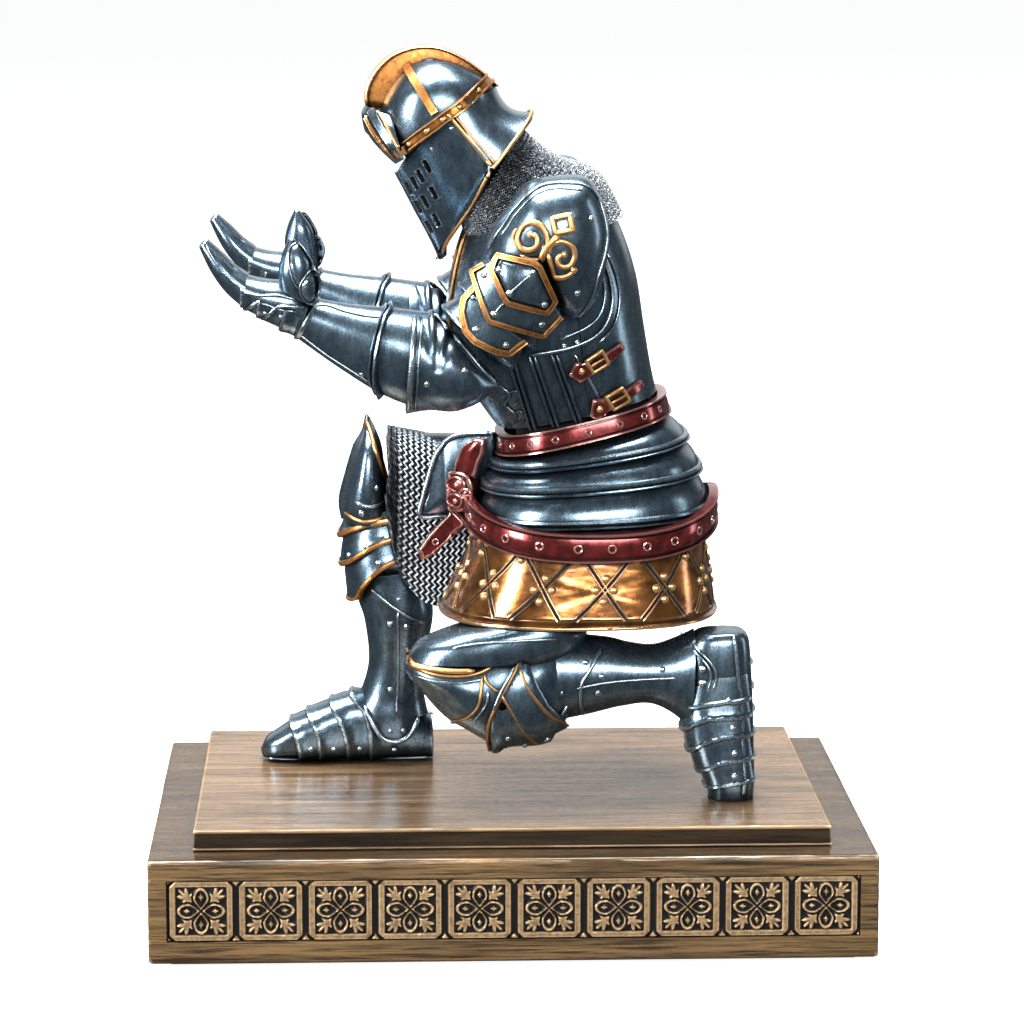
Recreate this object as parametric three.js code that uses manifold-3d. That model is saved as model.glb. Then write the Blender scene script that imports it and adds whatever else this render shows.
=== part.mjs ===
// Kneeling knight statuette on a two-step plinth. Millimetres, +Z up.
// Origin: centre of the base's footprint, on the surface it stands on.
// The figure faces -X. Its left side is towards -Y, its right side towards +Y.
import * as THREE from 'three';
import { mergeVertices } from 'three/addons/utils/BufferGeometryUtils.js';
import Module from 'manifold-3d';

const wasm = await Module();
wasm.setup();

// ---------------------------------------------------------------- dimensions
const BASE_LENGTH = 121.2;          // plinth along X
const BASE_DEPTH = 88.7;          // plinth along Y
const PAD_THICKNESS = 0.8;        // felt under the plinth
const PAD_INSET = 3;
const BLOCK_TOP = 18.5;           // lower step
const SLAB_LENGTH = 106.6;        // upper step
const SLAB_DEPTH = 76.1;
const SLAB_TOP = 22.05;
const FIGURE_RAISE = 1.2;         // the figure's own heights start from a slab 20.85 high
const SLAB_CORNER = 0.5;          // softened upright corners of the upper step
const GLUE = 0.05;                // bonded faces
const GAP = 0.3;                  // fitted pieces
const TILE_PITCH = 11.5;          // relief tiles round the plinth
const RELIEF_DEPTH = 0.8;
const ARM_Y = 23;                 // arms either side of the middle plane
const LEFT_LEG_Y = -16;
const RIGHT_LEG_Y = 15;

// ---------------------------------------------------------------- helpers
// One closed mesh from rings of equal length, with a fan over each end.
function skin(rings, closedLoop = false) {
  const n = rings[0].length;
  const points = rings.flat();
  const index = [];
  const last = closedLoop ? rings.length : rings.length - 1;
  for (let i = 0; i < last; i++) {
    const a = i * n;
    const b = ((i + 1) % rings.length) * n;
    for (let j = 0; j < n; j++) {
      const k = (j + 1) % n;
      index.push(a + j, a + k, b + k, a + j, b + k, b + j);
    }
  }
  if (!closedLoop) {
    for (const [start, flip] of [[0, true], [(rings.length - 1) * n, false]]) {
      const middle = new THREE.Vector3();
      for (let j = 0; j < n; j++) middle.add(points[start + j]);
      points.push(middle.divideScalar(n));
      const c = points.length - 1;
      for (let j = 0; j < n; j++) {
        const k = (j + 1) % n;
        if (flip) index.push(start + k, start + j, c);
        else index.push(start + j, start + k, c);
      }
    }
  }
  return orient(points, index);
}

// Turns the faces outwards if the enclosed volume comes out negative.
function orient(points, index) {
  let volume = 0;
  for (let i = 0; i < index.length; i += 3) {
    const [a, b, c] = [points[index[i]], points[index[i + 1]], points[index[i + 2]]];
    volume += a.dot(b.clone().cross(c));
  }
  if (volume < 0) {
    for (let i = 0; i < index.length; i += 3) {
      [index[i + 1], index[i + 2]] = [index[i + 2], index[i + 1]];
    }
  }
  const geometry = new THREE.BufferGeometry().setFromPoints(points);
  geometry.setIndex(index);
  return geometry;
}

const squared = (value, power) => Math.sign(value) * Math.abs(value) ** (2 / power);

// A limb or trunk: each station is [front x, front z, back x, back z, middle y, half width].
function loft(stations, { sides = 14, power = 2.2, grow = 0, extend = 0 } = {}) {
  const rows = stations.map((s) => ({
    middle: new THREE.Vector3((s[0] + s[2]) / 2, s[4], (s[1] + s[3]) / 2),
    half: new THREE.Vector3((s[0] - s[2]) / 2, 0, (s[1] - s[3]) / 2),
    width: s[5],
  }));
  const push = (row, other) => {
    const away = row.middle.clone().sub(other.middle).normalize().multiplyScalar(extend);
    return { ...row, middle: row.middle.clone().add(away) };
  };
  if (extend) {
    rows[0] = push(rows[0], rows[1]);
    rows[rows.length - 1] = push(rows[rows.length - 1], rows[rows.length - 2]);
  }
  return skin(rows.map(({ middle, half, width }) => {
    const length = half.length();
    const along = half.clone().setLength(length + grow);
    return Array.from({ length: sides }, (_, j) => {
      const angle = (2 * Math.PI * (j + 0.5)) / sides;
      const p = middle.clone().addScaledVector(along, squared(Math.cos(angle), power));
      p.y += (width + grow) * squared(Math.sin(angle), power);
      return p;
    });
  }));
}

// A cushion: an outline in X and Z that shrinks about a centre towards both sides.
function pillow(outline, centre, y, halfWidth, { grow = 0, layers = 5, power = 2.4 } = {}) {
  const steps = Array.from({ length: layers }, (_, i) => -1 + (2 * (i + 0.35)) / (layers - 0.3));
  return skin(steps.map((t) => {
    const scale = (1 - Math.abs(t) ** power) ** (1 / power);
    return outline.map(([x, z]) => {
      const d = new THREE.Vector2(x - centre[0], z - centre[1]);
      const reach = d.length();
      d.multiplyScalar((reach * scale + grow) / reach);
      return new THREE.Vector3(centre[0] + d.x, y + t * (halfWidth + grow), centre[1] + d.y);
    });
  }));
}

// An outline in X and Z, drawn out from y0 to y1.
function prism(outline, y0, y1) {
  const shape = new THREE.Shape(outline.map(([x, z]) => new THREE.Vector2(x, z)));
  const geometry = new THREE.ExtrudeGeometry(shape, { depth: y1 - y0, bevelEnabled: false });
  return geometry.rotateX(Math.PI / 2).translate(0, y1, 0);
}

function box(x0, x1, y0, y1, z0, z1) {
  return new THREE.BoxGeometry(x1 - x0, y1 - y0, z1 - z0)
    .translate((x0 + x1) / 2, (y0 + y1) / 2, (z0 + z1) / 2);
}

// A strap or rim: a rectangle carried round a closed path of [point, outward direction].
function hoop(path, height, inner, outer) {
  return skin(path.map(({ point, out }) => [[inner, 0], [outer, 0], [outer, 1], [inner, 1]]
    .map(([d, up]) => new THREE.Vector3(
      point.x + out.x * d, point.y + out.y * d, point.z + (up - 0.5) * height))), true);
}

// A squared oval in plan, at a height given by a function of x and y.
function oval(cx, a, b, zAt, { count = 28, power = 2.5, cy = 0 } = {}) {
  return Array.from({ length: count }, (_, i) => {
    const angle = (2 * Math.PI * i) / count;
    const x = cx + a * squared(Math.cos(angle), power);
    const y = cy + b * squared(Math.sin(angle), power);
    const out = new THREE.Vector3((x - cx) / (a * a), (y - cy) / (b * b), 0).normalize();
    return { point: new THREE.Vector3(x, y, zAt(x, y)), out };
  });
}

function solid(geometry) {
  const bare = geometry.clone();
  bare.deleteAttribute('normal');
  bare.deleteAttribute('uv');
  const merged = mergeVertices(bare, 1e-4);
  return new wasm.Manifold(new wasm.Mesh({
    numProp: 3,
    vertProperties: new Float32Array(merged.attributes.position.array),
    triVerts: new Uint32Array(merged.index.array),
  }));
}

function shaped(manifold) {
  const mesh = manifold.getMesh();
  const geometry = new THREE.BufferGeometry();
  geometry.setAttribute('position', new THREE.BufferAttribute(mesh.vertProperties, 3));
  geometry.setIndex(new THREE.BufferAttribute(mesh.triVerts, 1));
  return geometry;
}

// Keeps the part of a shape inside an outline drawn in X and Z.
const within = (shape, outline, y0 = -60, y1 = 60) =>
  shaped(solid(shape).intersect(solid(prism(outline, y0, y1))));
const less = (shape, ...cutters) =>
  shaped(cutters.reduce((left, cutter) => left.subtract(solid(cutter)), solid(shape)));
const plus = (shape, ...others) =>
  shaped(others.reduce((sum, other) => sum.add(solid(other)), solid(shape)));

// The same shape on the other side of the middle plane.
function mirrored(geometry, shiftX = 0, shiftZ = 0) {
  const flat = geometry.index ? geometry.clone() : mergeVertices(geometry.clone(), 1e-4);
  flat.scale(1, -1, 1).translate(shiftX, 0, shiftZ);
  const index = flat.index.array;
  for (let i = 0; i < index.length; i += 3) {
    [index[i + 1], index[i + 2]] = [index[i + 2], index[i + 1]];
  }
  return flat;
}

const finishes = {
  steel: { color: 0x4a6074, roughness: 0.3, metalness: 0.9 },
  gold: { color: 0xb98a45, roughness: 0.35, metalness: 0.9 },
  leather: { color: 0x7c3236, roughness: 0.4, metalness: 0.5 },
  mail: { color: 0x4c5864, roughness: 0.5, metalness: 0.8 },
  bronze: { color: 0x8a6c44, roughness: 0.45, metalness: 0.4 },
  felt: { color: 0x1c1c1c, roughness: 0.95, metalness: 0 },
};

const knight = new THREE.Group();
let holder = knight;              // the group that the next pieces go into
function add(name, geometry, finish) {
  const material = new THREE.MeshStandardMaterial({ ...finishes[finish], flatShading: true });
  const mesh = new THREE.Mesh(geometry, material);
  mesh.name = name;
  holder.add(mesh);
}

// ---------------------------------------------------------------- plinth
const halfLength = BASE_LENGTH / 2;
const halfDepth = BASE_DEPTH / 2;
add('felt_pad', box(-halfLength + PAD_INSET, halfLength - PAD_INSET,
  -halfDepth + PAD_INSET, halfDepth - PAD_INSET, 0, PAD_THICKNESS), 'felt');

const panelLength = 10 * TILE_PITCH;
const panelDepth = 7 * TILE_PITCH;
const panelBottom = 4.7;
const panelTop = 15.1;
const blockBottom = PAD_THICKNESS + GLUE;
const recess = [
  box(-panelLength / 2, panelLength / 2, -halfDepth - 1, -halfDepth + RELIEF_DEPTH + GLUE,
    panelBottom, panelTop),
  box(-panelLength / 2, panelLength / 2, halfDepth - RELIEF_DEPTH - GLUE, halfDepth + 1,
    panelBottom, panelTop),
  box(-halfLength - 1, -halfLength + RELIEF_DEPTH + GLUE, -panelDepth / 2, panelDepth / 2,
    panelBottom, panelTop),
  box(halfLength - RELIEF_DEPTH - GLUE, halfLength + 1, -panelDepth / 2, panelDepth / 2,
    panelBottom, panelTop),
];
add('plinth_block', less(box(-halfLength, halfLength, -halfDepth, halfDepth,
  blockBottom, BLOCK_TOP), ...recess), 'bronze');

const PANEL_EDGE = 0.1;
const SUNK = 0.15;                // the relief sits this far below the block's face
const panelBox = (x0, x1, y0, y1) => box(x0 + PANEL_EDGE, x1 - PANEL_EDGE,
  y0 + PANEL_EDGE, y1 - PANEL_EDGE, panelBottom + PANEL_EDGE, panelTop - PANEL_EDGE);
add('frieze_left', panelBox(-panelLength / 2, panelLength / 2,
  -halfDepth + SUNK - PANEL_EDGE, -halfDepth + RELIEF_DEPTH + PANEL_EDGE), 'bronze');
add('frieze_right', panelBox(-panelLength / 2, panelLength / 2,
  halfDepth - RELIEF_DEPTH - PANEL_EDGE, halfDepth - SUNK + PANEL_EDGE), 'bronze');
add('frieze_front', panelBox(-halfLength + SUNK - PANEL_EDGE,
  -halfLength + RELIEF_DEPTH + PANEL_EDGE, -panelDepth / 2, panelDepth / 2), 'bronze');
add('frieze_back', panelBox(halfLength - RELIEF_DEPTH - PANEL_EDGE,
  halfLength - SUNK + PANEL_EDGE, -panelDepth / 2, panelDepth / 2), 'bronze');

// The upper step is a plain slab with softened upright corners.
const slabShape = new THREE.Shape();
{
  const [a, b, c] = [SLAB_LENGTH / 2, SLAB_DEPTH / 2, SLAB_CORNER];
  const loop = [[a, c - b], [a, b - c], [a - c, b], [c - a, b],
    [-a, b - c], [-a, c - b], [c - a, -b], [a - c, -b]];
  loop.forEach(([x, y], i) => (i ? slabShape.lineTo(x, y) : slabShape.moveTo(x, y)));
}
add('plinth_slab', new THREE.ExtrudeGeometry(slabShape,
  { depth: SLAB_TOP - BLOCK_TOP - GLUE, bevelEnabled: false })
  .translate(0, 0, BLOCK_TOP + GLUE), 'bronze');

// Everything above the slab belongs to the figure.
const figure = new THREE.Group();
figure.position.z = FIGURE_RAISE;
knight.add(figure);
holder = figure;

// ---------------------------------------------------------------- trunk
const trunk = [
  [-5, 121, 9, 129, 0, 9],
  [-7.5, 115.5, 15, 125.5, 0, 14.5],
  [-9.2, 109, 19.3, 118.3, 0, 18],
  [-10, 102, 22.2, 110, 0, 19.2],
  [-8.6, 95, 23.7, 101, 0, 18.4],
  [-5.2, 88.8, 24.9, 94, 0, 17],
  [-1.4, 83.4, 25.9, 89.5, 0, 15.6],
];
const trunkSkin = (grow = 0, extend = 0) => loft(trunk, { sides: 20, power: 2.4, grow, extend });
const SEAM_TOP = [8, 134];        // side seam between breast and back
const SEAM_BOTTOM = [14.5, 80];
add('breastplate', within(trunkSkin(), [[-30, 134], [-30, 80],
  [SEAM_BOTTOM[0] - GAP, SEAM_BOTTOM[1]], [SEAM_TOP[0] - GAP, SEAM_TOP[1]]]), 'steel');
add('backplate', within(trunkSkin(), [SEAM_TOP, SEAM_BOTTOM, [50, 80], [50, 134]]), 'steel');

// Two leather straps close the seam on each side.
const sideStrap = (x0, z0, x1, z1) => {
  const long = new THREE.Vector2(x1 - x0, z1 - z0).normalize();
  const across = [-long.y * 1.7, long.x * 1.7];
  return [[x0 - across[0], z0 - across[1]], [x1 - across[0], z1 - across[1]],
    [x1 + across[0], z1 + across[1]], [x0 + across[0], z0 + across[1]]];
};
const strapLines = {
  upper: sideStrap(10.6, 94.4, 18.4, 98.6),
  lower: sideStrap(14.3, 88.6, 21.4, 92.8),
};
for (const [place, outline] of Object.entries(strapLines)) {
  const left = less(within(trunkSkin(1.5), outline, -30, -4), trunkSkin(GAP, 3));
  add(`side_strap_left_${place}`, left, 'leather');
  add(`side_strap_right_${place}`, mirrored(left), 'leather');
}

// Waist belt, three faulds and the studded skirt below them, all on one sloping axis.
const WAIST_SLOPE = 0.243;
const waistHeight = (base, slope, x) => base + slope * (x - 13);
const plan = (cx, a, b, base, slope, options) =>
  oval(cx, a, b, (x) => waistHeight(base, slope, x), options);
const ringOf = (path, shift = 0) => path.map(({ point, out }) =>
  new THREE.Vector3(point.x + out.x * shift, point.y + out.y * shift, point.z));
const waistTop = plan(13, 13.4, 15.0, 85.9, WAIST_SLOPE);
const waistFoot = plan(13.4, 14.0, 15.6, 82.1, WAIST_SLOPE);
add('waist_belt', skin([ringOf(waistFoot, 1.1), ringOf(waistTop, 1.1)]), 'leather');
const faulds = [
  ['fauld_upper', plan(13.6, 13.9, 15.4, 81.8, 0.235), plan(14.4, 17.2, 18.6, 78.4, 0.14)],
  ['fauld_middle', plan(14.4, 16.6, 18.0, 78.1, 0.14), plan(14.8, 19.0, 20.6, 73.9, 0.08)],
  ['fauld_lower', plan(14.8, 18.4, 20.0, 73.6, 0.08), plan(15.0, 20.0, 22.0, 68.2, 0.04)],
];
for (const [name, top, foot] of faulds) add(name, skin([ringOf(foot), ringOf(top)]), 'steel');

// The hip belt sags towards the sides.
const hipHeight = (x, y) => 70.0 - 4.6 * (Math.abs(y) / 23) ** 1.5;
const hipPath = oval(14.6, 20.9, 23.0, hipHeight);
add('hip_belt', hoop(hipPath, 5.0, -0.3, 1.5), 'leather');

// Skirt of studded plates: a flared block, open at the front for the raised thigh.
const skirtTop = oval(14.4, 19.6, 21.6, () => 67.6, { power: 2.6 });
const skirtFoot = oval(12.4, 24.0, 24.6, (x, y) => 51.3 + 0.9 * (1 - Math.abs(y) / 24.6),
  { power: 2.8 });
const skirtRegion = [[-12.6, 50], [40, 50], [40, 70], [-5.6, 70]];
const skirtBody = skin([ringOf(skirtFoot), ringOf(skirtTop)]);
const hipClear = hoop(hipPath, 5.6, -0.6, 2.4);
const skirt = less(within(skirtBody, skirtRegion), hipClear,
  skin([ringOf(faulds[2][2], GAP).map((p) => p.clone().add({ x: 0, y: 0, z: -GAP })),
    ringOf(faulds[2][1], GAP)]));
add('skirt', skirt, 'gold');

// ---------------------------------------------------------------- right leg, foot flat
const rightThigh = [
  [-2, 79.2, -6, 62, RIGHT_LEG_Y - 1, 9],
  [-12, 79.5, -13, 62.5, RIGHT_LEG_Y, 8.6],
  [-20.5, 79.4, -19, 63.5, RIGHT_LEG_Y, 7.6],
];
const thighSkin = (grow = 0, extend = 0) => loft(rightThigh, { grow, extend, power: 2.3 });
const hipClearance = [skirtBody, ...faulds.map(([, top, foot]) =>
  skin([ringOf(foot, GAP), ringOf(top, GAP)])), hoop(hipPath, 5.6, -1, 1.8)];
const cutHip = (shape) => less(shape, ...hipClearance);
const kneeCop = [
  [-24.3, 81.4, -21, 81.0, RIGHT_LEG_Y, 2.5],
  [-25.8, 77.4, -20.8, 77, RIGHT_LEG_Y, 7.6],
  [-27.4, 72.8, -20.6, 71.5, RIGHT_LEG_Y, 8.6],
  [-28.6, 67.9, -19.8, 67.5, RIGHT_LEG_Y, 8.6],
  [-28, 64.8, -18.5, 64.2, RIGHT_LEG_Y, 8.0],
];
add('poleyn_right', loft(kneeCop), 'steel');
const kneeLame = (z0, z1, front0, front1) => [
  [front0, z0, -15.2, z0 + 1.6, RIGHT_LEG_Y, 7.2],
  [front1, z1, -14.8, z1 + 2.2, RIGHT_LEG_Y, 7.9],
];
add('knee_lame_right_upper', less(loft(kneeLame(64.3, 58.4, -27.2, -28.7)),
  loft(kneeCop, { grow: GAP, extend: GAP })), 'steel');
add('knee_lame_right_lower', loft(kneeLame(58.0, 50.6, -26.6, -27.6)), 'steel');
const shin = [
  [-25.8, 50.1, -13.2, 52.4, RIGHT_LEG_Y, 7.0],
  [-24.6, 46, -12.4, 46.5, RIGHT_LEG_Y, 6.8],
  [-23.9, 39, -13.8, 39, RIGHT_LEG_Y, 5.9],
  [-24.8, 33.6, -14, 33.2, RIGHT_LEG_Y, 5.6],
  [-25.6, 31.4, -13.6, 30.6, RIGHT_LEG_Y, 5.8],
];
const shinSkin = (grow = 0, extend = 0) => loft(shin, { grow, extend });
add('greave_right', shinSkin(), 'steel');
const rightFoot = [
  [-43.0, 24.0, -42.2, 20.9, RIGHT_LEG_Y, 1.6],
  [-40.2, 25.8, -39.6, 20.9, RIGHT_LEG_Y, 4.3],
  [-36.6, 28.6, -36, 20.9, RIGHT_LEG_Y, 5.3],
  [-31.6, 31.0, -31, 20.9, RIGHT_LEG_Y, 5.6],
  [-25.6, 33.2, -25, 20.9, RIGHT_LEG_Y, 5.0],
  [-18.6, 31.0, -18, 20.9, RIGHT_LEG_Y, 4.7],
  [-12.8, 28.0, -12.6, 20.9, RIGHT_LEG_Y, 3.8],
];
const footBlock = (stations) => loft(stations, { power: 3 });
add('sabaton_right', less(footBlock(rightFoot), shinSkin(GAP, GAP)), 'steel');

// ---------------------------------------------------------------- left leg, kneeling on the toe
const leftThigh = [
  [-5, 50.9, 9, 50.9, LEFT_LEG_Y, 8.2],
  [-12.4, 49.4, 8.8, 48.6, LEFT_LEG_Y, 8.8],
  [-17.4, 45.6, 8.2, 46.6, LEFT_LEG_Y, 8.6],
];
add('cuisse_left', less(loft(leftThigh), skirtBody), 'steel');
const leftKnee = [[-17.6, 44.8], [-14.6, 39.4], [-10.9, 35.3], [-7.4, 33.1], [-3.2, 30.6],
  [-1.7, 29.6], [1, 31.4], [6.8, 31.6], [9.8, 34.4], [11.6, 40], [8.4, 46],
  [0, 45.6], [-8, 44.2]];
const leftKneeSkin = (grow = 0) => pillow(leftKnee, [-1.5, 39], LEFT_LEG_Y, 9.0, { grow });
add('poleyn_left', less(leftKneeSkin(), loft(leftThigh, { grow: GAP, extend: GAP })), 'steel');
const wing = [[1.8, 45], [-1.8, 40.5], [-3.4, 35.6], [-2.0, 31.4], [2.9, 32], [6.6, 34],
  [7.4, 39], [5, 44]];
add('poleyn_wing_left', less(prism(wing, LEFT_LEG_Y - 10.2, LEFT_LEG_Y - 5), leftKneeSkin(GAP),
  loft(leftThigh, { grow: GAP, extend: GAP })), 'steel');
const leftShin = [
  [9, 34.0, 12.5, 48.2, LEFT_LEG_Y, 6.4],
  [14, 35.7, 16.6, 48.6, LEFT_LEG_Y, 6.4],
  [23.5, 37.2, 24, 47.3, LEFT_LEG_Y, 5.7],
  [27.6, 35.6, 28, 48.6, LEFT_LEG_Y, 5.6],
];
add('greave_left', less(loft(leftShin), leftKneeSkin(GAP), skirtBody,
  loft(leftThigh, { grow: GAP, extend: GAP })), 'steel');
const leftFoot = [
  [28.6, 49.3, 41, 50.0, LEFT_LEG_Y, 4.6],
  [28.4, 43, 41.6, 44, LEFT_LEG_Y, 5.2],
  [29.2, 35, 42, 37, LEFT_LEG_Y, 5.6],
  [31.2, 28.6, 42.2, 30, LEFT_LEG_Y, 5.6],
  [33.8, 23.6, 42.4, 24, LEFT_LEG_Y, 5.2],
  [34.2, 20.9, 42.2, 20.9, LEFT_LEG_Y, 4.6],
];
add('sabaton_left', less(footBlock(leftFoot), loft(leftShin, { grow: GAP, extend: GAP })), 'steel');

// ---------------------------------------------------------------- mail skirt and hip furniture
const mailOver = [
  [-3, 81.0, -7, 60.5, RIGHT_LEG_Y - 1, 11],
  [-12, 81.4, -13, 61, RIGHT_LEG_Y, 10.4],
  [-20, 81.3, -18.8, 62, RIGHT_LEG_Y, 9.4],
];
const mailHem = [[-19.8, 76], [-20, 68.7], [-18.6, 58], [-15.6, 52.9], [-12.4, 50.2],
  [-11.9, 54], [-6.4, 69], [-7, 76]];
const legClear = [thighSkin(GAP, 3), loft(kneeCop, { grow: GAP }), shinSkin(GAP, GAP),
  loft(kneeLame(64.3, 58.4, -27.2, -28.7), { grow: GAP, extend: GAP }),
  loft(kneeLame(58.0, 50.6, -26.6, -27.6), { grow: GAP, extend: GAP })];
add('cuisse_right', less(cutHip(thighSkin()), loft(kneeCop, { grow: GAP }),
  legClear[3]), 'steel');
const mailSkirt = less(plus(loft(mailOver, { power: 2.6 }), prism(mailHem, 3.6, 6.4)),
  ...legClear, ...hipClearance);
add('mail_skirt', mailSkirt, 'mail');
const tassetOutline = [[-14.9, 66.8], [-13.2, 73.6], [-10.6, 78.2], [-6.2, 79.6], [-7.4, 66.2]];
add('tasset', less(prism(tassetOutline, 1.4, 3.3), ...hipClearance, mailSkirt), 'steel');
const frontStrap = [[-8.0, 80.6], [-5.2, 80.6], [-5.6, 75.4], [-8.8, 74.4]];
add('front_strap', less(prism(frontStrap, -0.6, 1.1), ...hipClearance), 'leather');
const buckleOutline = [[-9.6, 74.0], [-6.6, 75.0], [-5.6, 72.6], [-6.0, 69.4], [-8.8, 68.8],
  [-10, 70.6]];
add('hip_buckle', less(prism(buckleOutline, -1.6, 1.1), ...hipClearance), 'leather');
const tailOutline = [[-8.2, 68.4], [-6.4, 66.6], [-10.4, 62.6], [-14.2, 59.6], [-15, 61.8],
  [-11.6, 65.2]];
add('belt_tail', less(prism(tailOutline, -0.6, 1.1), ...hipClearance), 'leather');

// ---------------------------------------------------------------- arms, palms up
const leftY = -ARM_Y;
const shoulderOutline = [[2.4, 126.4], [6, 127.8], [12.3, 127.9], [14.9, 125], [16.6, 119.2],
  [16, 113], [14.4, 107.5], [11, 104.4], [7.4, 107.2], [4.4, 112], [-1.2, 113.4],
  [-4, 114.6], [-3.2, 119], [-0.6, 122.4]];
const shoulder = (grow = 0) => pillow(shoulderOutline, [6.5, 116.5], leftY + 1.6, 10.6,
  { grow, layers: 6, power: 2.6 });
const pauldron = less(shoulder(), trunkSkin(GAP, 3));
const upperArm = (x, z, half) => [x - 0.767 * half, z + 0.643 * half,
  x + 0.767 * half, z - 0.643 * half];
const lame = (t0, t1, half, width) => [t0, t1].map((t, i) =>
  [...upperArm(5.2 - 0.643 * t, 113.6 - 0.767 * t, half + i * 0.8), leftY + 1, width + i * 0.6]);
const lames = [lame(1.5, 7.4, 7.2, 8.6), lame(7.8, 11.8, 7.1, 8.2), lame(12.2, 16.4, 6.8, 7.6)];
const elbowOutline = [[-15.9, 105.4], [-13, 105.8], [-9.6, 102.6], [-5.6, 97.8], [-1.8, 93.9],
  [-5, 90.7], [-8.4, 88.9], [-11.7, 89.5], [-17.2, 88.8], [-17.0, 97]];
const elbow = (grow = 0) => pillow(elbowOutline, [-11, 96], leftY, 8.4, { grow });
const forearm = [
  [-17.6, 89.8, -16.3, 106.0, leftY, 7.6],
  [-21, 91.4, -20.2, 106.2, leftY, 7.2],
  [-28.2, 96, -26.6, 106.9, leftY, 5.6],
  [-35.6, 101.4, -32.2, 107.9, leftY, 4.1],
];
const palm = [
  [-36.1, 101.6, -32.6, 108.2, leftY, 4.5],
  [-37.9, 102.8, -35.6, 110.6, leftY, 5.0],
  [-41.8, 105.0, -40.8, 111.2, leftY, 4.9],
  [-44.2, 106.6, -43.9, 111.8, leftY, 4.6],
];
const fingers = [
  [-44.6, 106.8, -44.3, 112.1, leftY, 4.6],
  [-47.2, 109.2, -45.6, 113.6, leftY, 4.3],
  [-49.6, 112.6, -47.4, 115.4, leftY, 3.7],
  [-51.4, 116.6, -50.4, 117.6, leftY, 2.6],
];
const thumb = [
  [-37.6, 111.6, -33.6, 109.4, leftY - 2.6, 2.2],
  [-37.9, 114.2, -33.4, 113.2, leftY - 2.6, 2.3],
  [-36.6, 118.0, -35.4, 117.8, leftY - 2.6, 1.2],
];
const elbowCut = less(elbow(), loft(forearm, { grow: GAP, extend: GAP }));
const arm = {
  pauldron,
  pauldron_lame_upper: less(loft(lames[0]), shoulder(GAP), trunkSkin(GAP, 3)),
  pauldron_lame_middle: less(loft(lames[1]), shoulder(GAP), trunkSkin(GAP, 3)),
  pauldron_lame_lower: less(loft(lames[2]), elbow(GAP), trunkSkin(GAP, 3)),
  couter: less(elbowCut, trunkSkin(GAP, 3)),
  vambrace: loft(forearm),
  palm: loft(palm),
  fingers: loft(fingers),
  thumb: less(loft(thumb), loft(palm, { grow: GAP })),
};
for (const [name, geometry] of Object.entries(arm)) {
  add(`${name}_left`, geometry, 'steel');
  add(`${name}_right`, mirrored(geometry), 'steel');
}

// ---------------------------------------------------------------- head, bowed
const helmOutline = [[-20.4, 138.6], [-19.2, 141.6], [-16.8, 144.6], [-13.6, 146.1],
  [-10.4, 146.4], [-7, 145.2], [-3.4, 142.8], [-1.0, 139.8], [1.2, 138], [4.5, 137.3],
  [2.4, 134.4], [0.2, 131.4], [-2.4, 128.3], [-4.4, 123.8], [-7, 118.8], [-10.8, 112],
  [-14.5, 119], [-18.2, 126.1], [-18.2, 131.4], [-20.8, 135.4]];
const helm = (grow = 0) => pillow(helmOutline, [-9.5, 132], 0, 11.6,
  { grow, layers: 7, power: 2.3 });
const skullRegion = [[-30, 133.2], [-17.4, 131.6], [-2.8, 142.6], [4, 150], [-30, 150]];
const visorRegion = [[-19.4, 126.9], [-17.0, 128.0], [-13, 130.8], [-11.2, 134.6],
  [-10.2, 136.6], [-6.3, 133.3], [-2.7, 128.2], [-6, 116], [-11, 108], [-24, 124]];
const guardRegion = [[-9.8, 136.9], [-2.6, 142.4], [8, 142], [8, 133], [-2.3, 128.0],
  [-6.0, 133.6]];
add('helmet_skull', within(helm(), skullRegion), 'steel');
add('visor', within(helm(), visorRegion), 'steel');
add('neck_guard', within(helm(), guardRegion), 'steel');
const browOutline = [[-23.6, 137.4], [-23.9, 135.4], [-23, 132.9], [-18.9, 128.2], [-17.7, 131],
  [-18.4, 133.2], [-20.8, 137.0]];
add('brow_plate', less(pillow(browOutline, [-20.3, 133], 0, 8.4, { power: 2.2 }),
  within(helm(GAP), skullRegion), within(helm(GAP), visorRegion)), 'steel');
const combOutline = [[-23.9, 138.0], [-23.9, 140.9], [-22.8, 143.7], [-20.6, 146.2],
  [-18, 147.8], [-14.6, 148.6], [-11.2, 148.3], [-7.8, 146.9], [-4.4, 144.6], [-1.4, 141.8],
  [-4.2, 141.6], [-8, 143.6], [-12, 144], [-15.6, 142.4], [-18.2, 139.4], [-19.6, 137.4]];
// Gilt strapwork: a riveted band round the brow and a rib over the crown.
const strapRegion = (d) => [[-18.6 - d, 131.1 - d * 0.6], [-17.6 - d, 129.9 - d * 1.2],
  [0.2 + d, 142.9 - d], [-1.0 + d, 144.7 + d]];
const ribRegion = (d) => [[-17.0 - d, 145.6], [-15.6 + d, 146.2 + d], [-9.4 + d, 136.4 - d],
  [-11.0 - d, 135.8 - d]];
const strapwork = (grow, d) => plus(within(helm(grow), strapRegion(d)),
  within(helm(grow), ribRegion(d)));
add('helmet_strapwork', less(strapwork(1.0, 0), helm(GAP - 0.1),
  pillow(browOutline, [-20.3, 133], 0, 8.4, { power: 2.2, grow: GAP })), 'gold');
add('helmet_comb', less(prism(combOutline, -1.7, 1.7), helm(GAP), strapwork(1.0 + GAP, GAP),
  pillow(browOutline, [-20.3, 133], 0, 8.4, { power: 2.2, grow: GAP })), 'gold');

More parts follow.
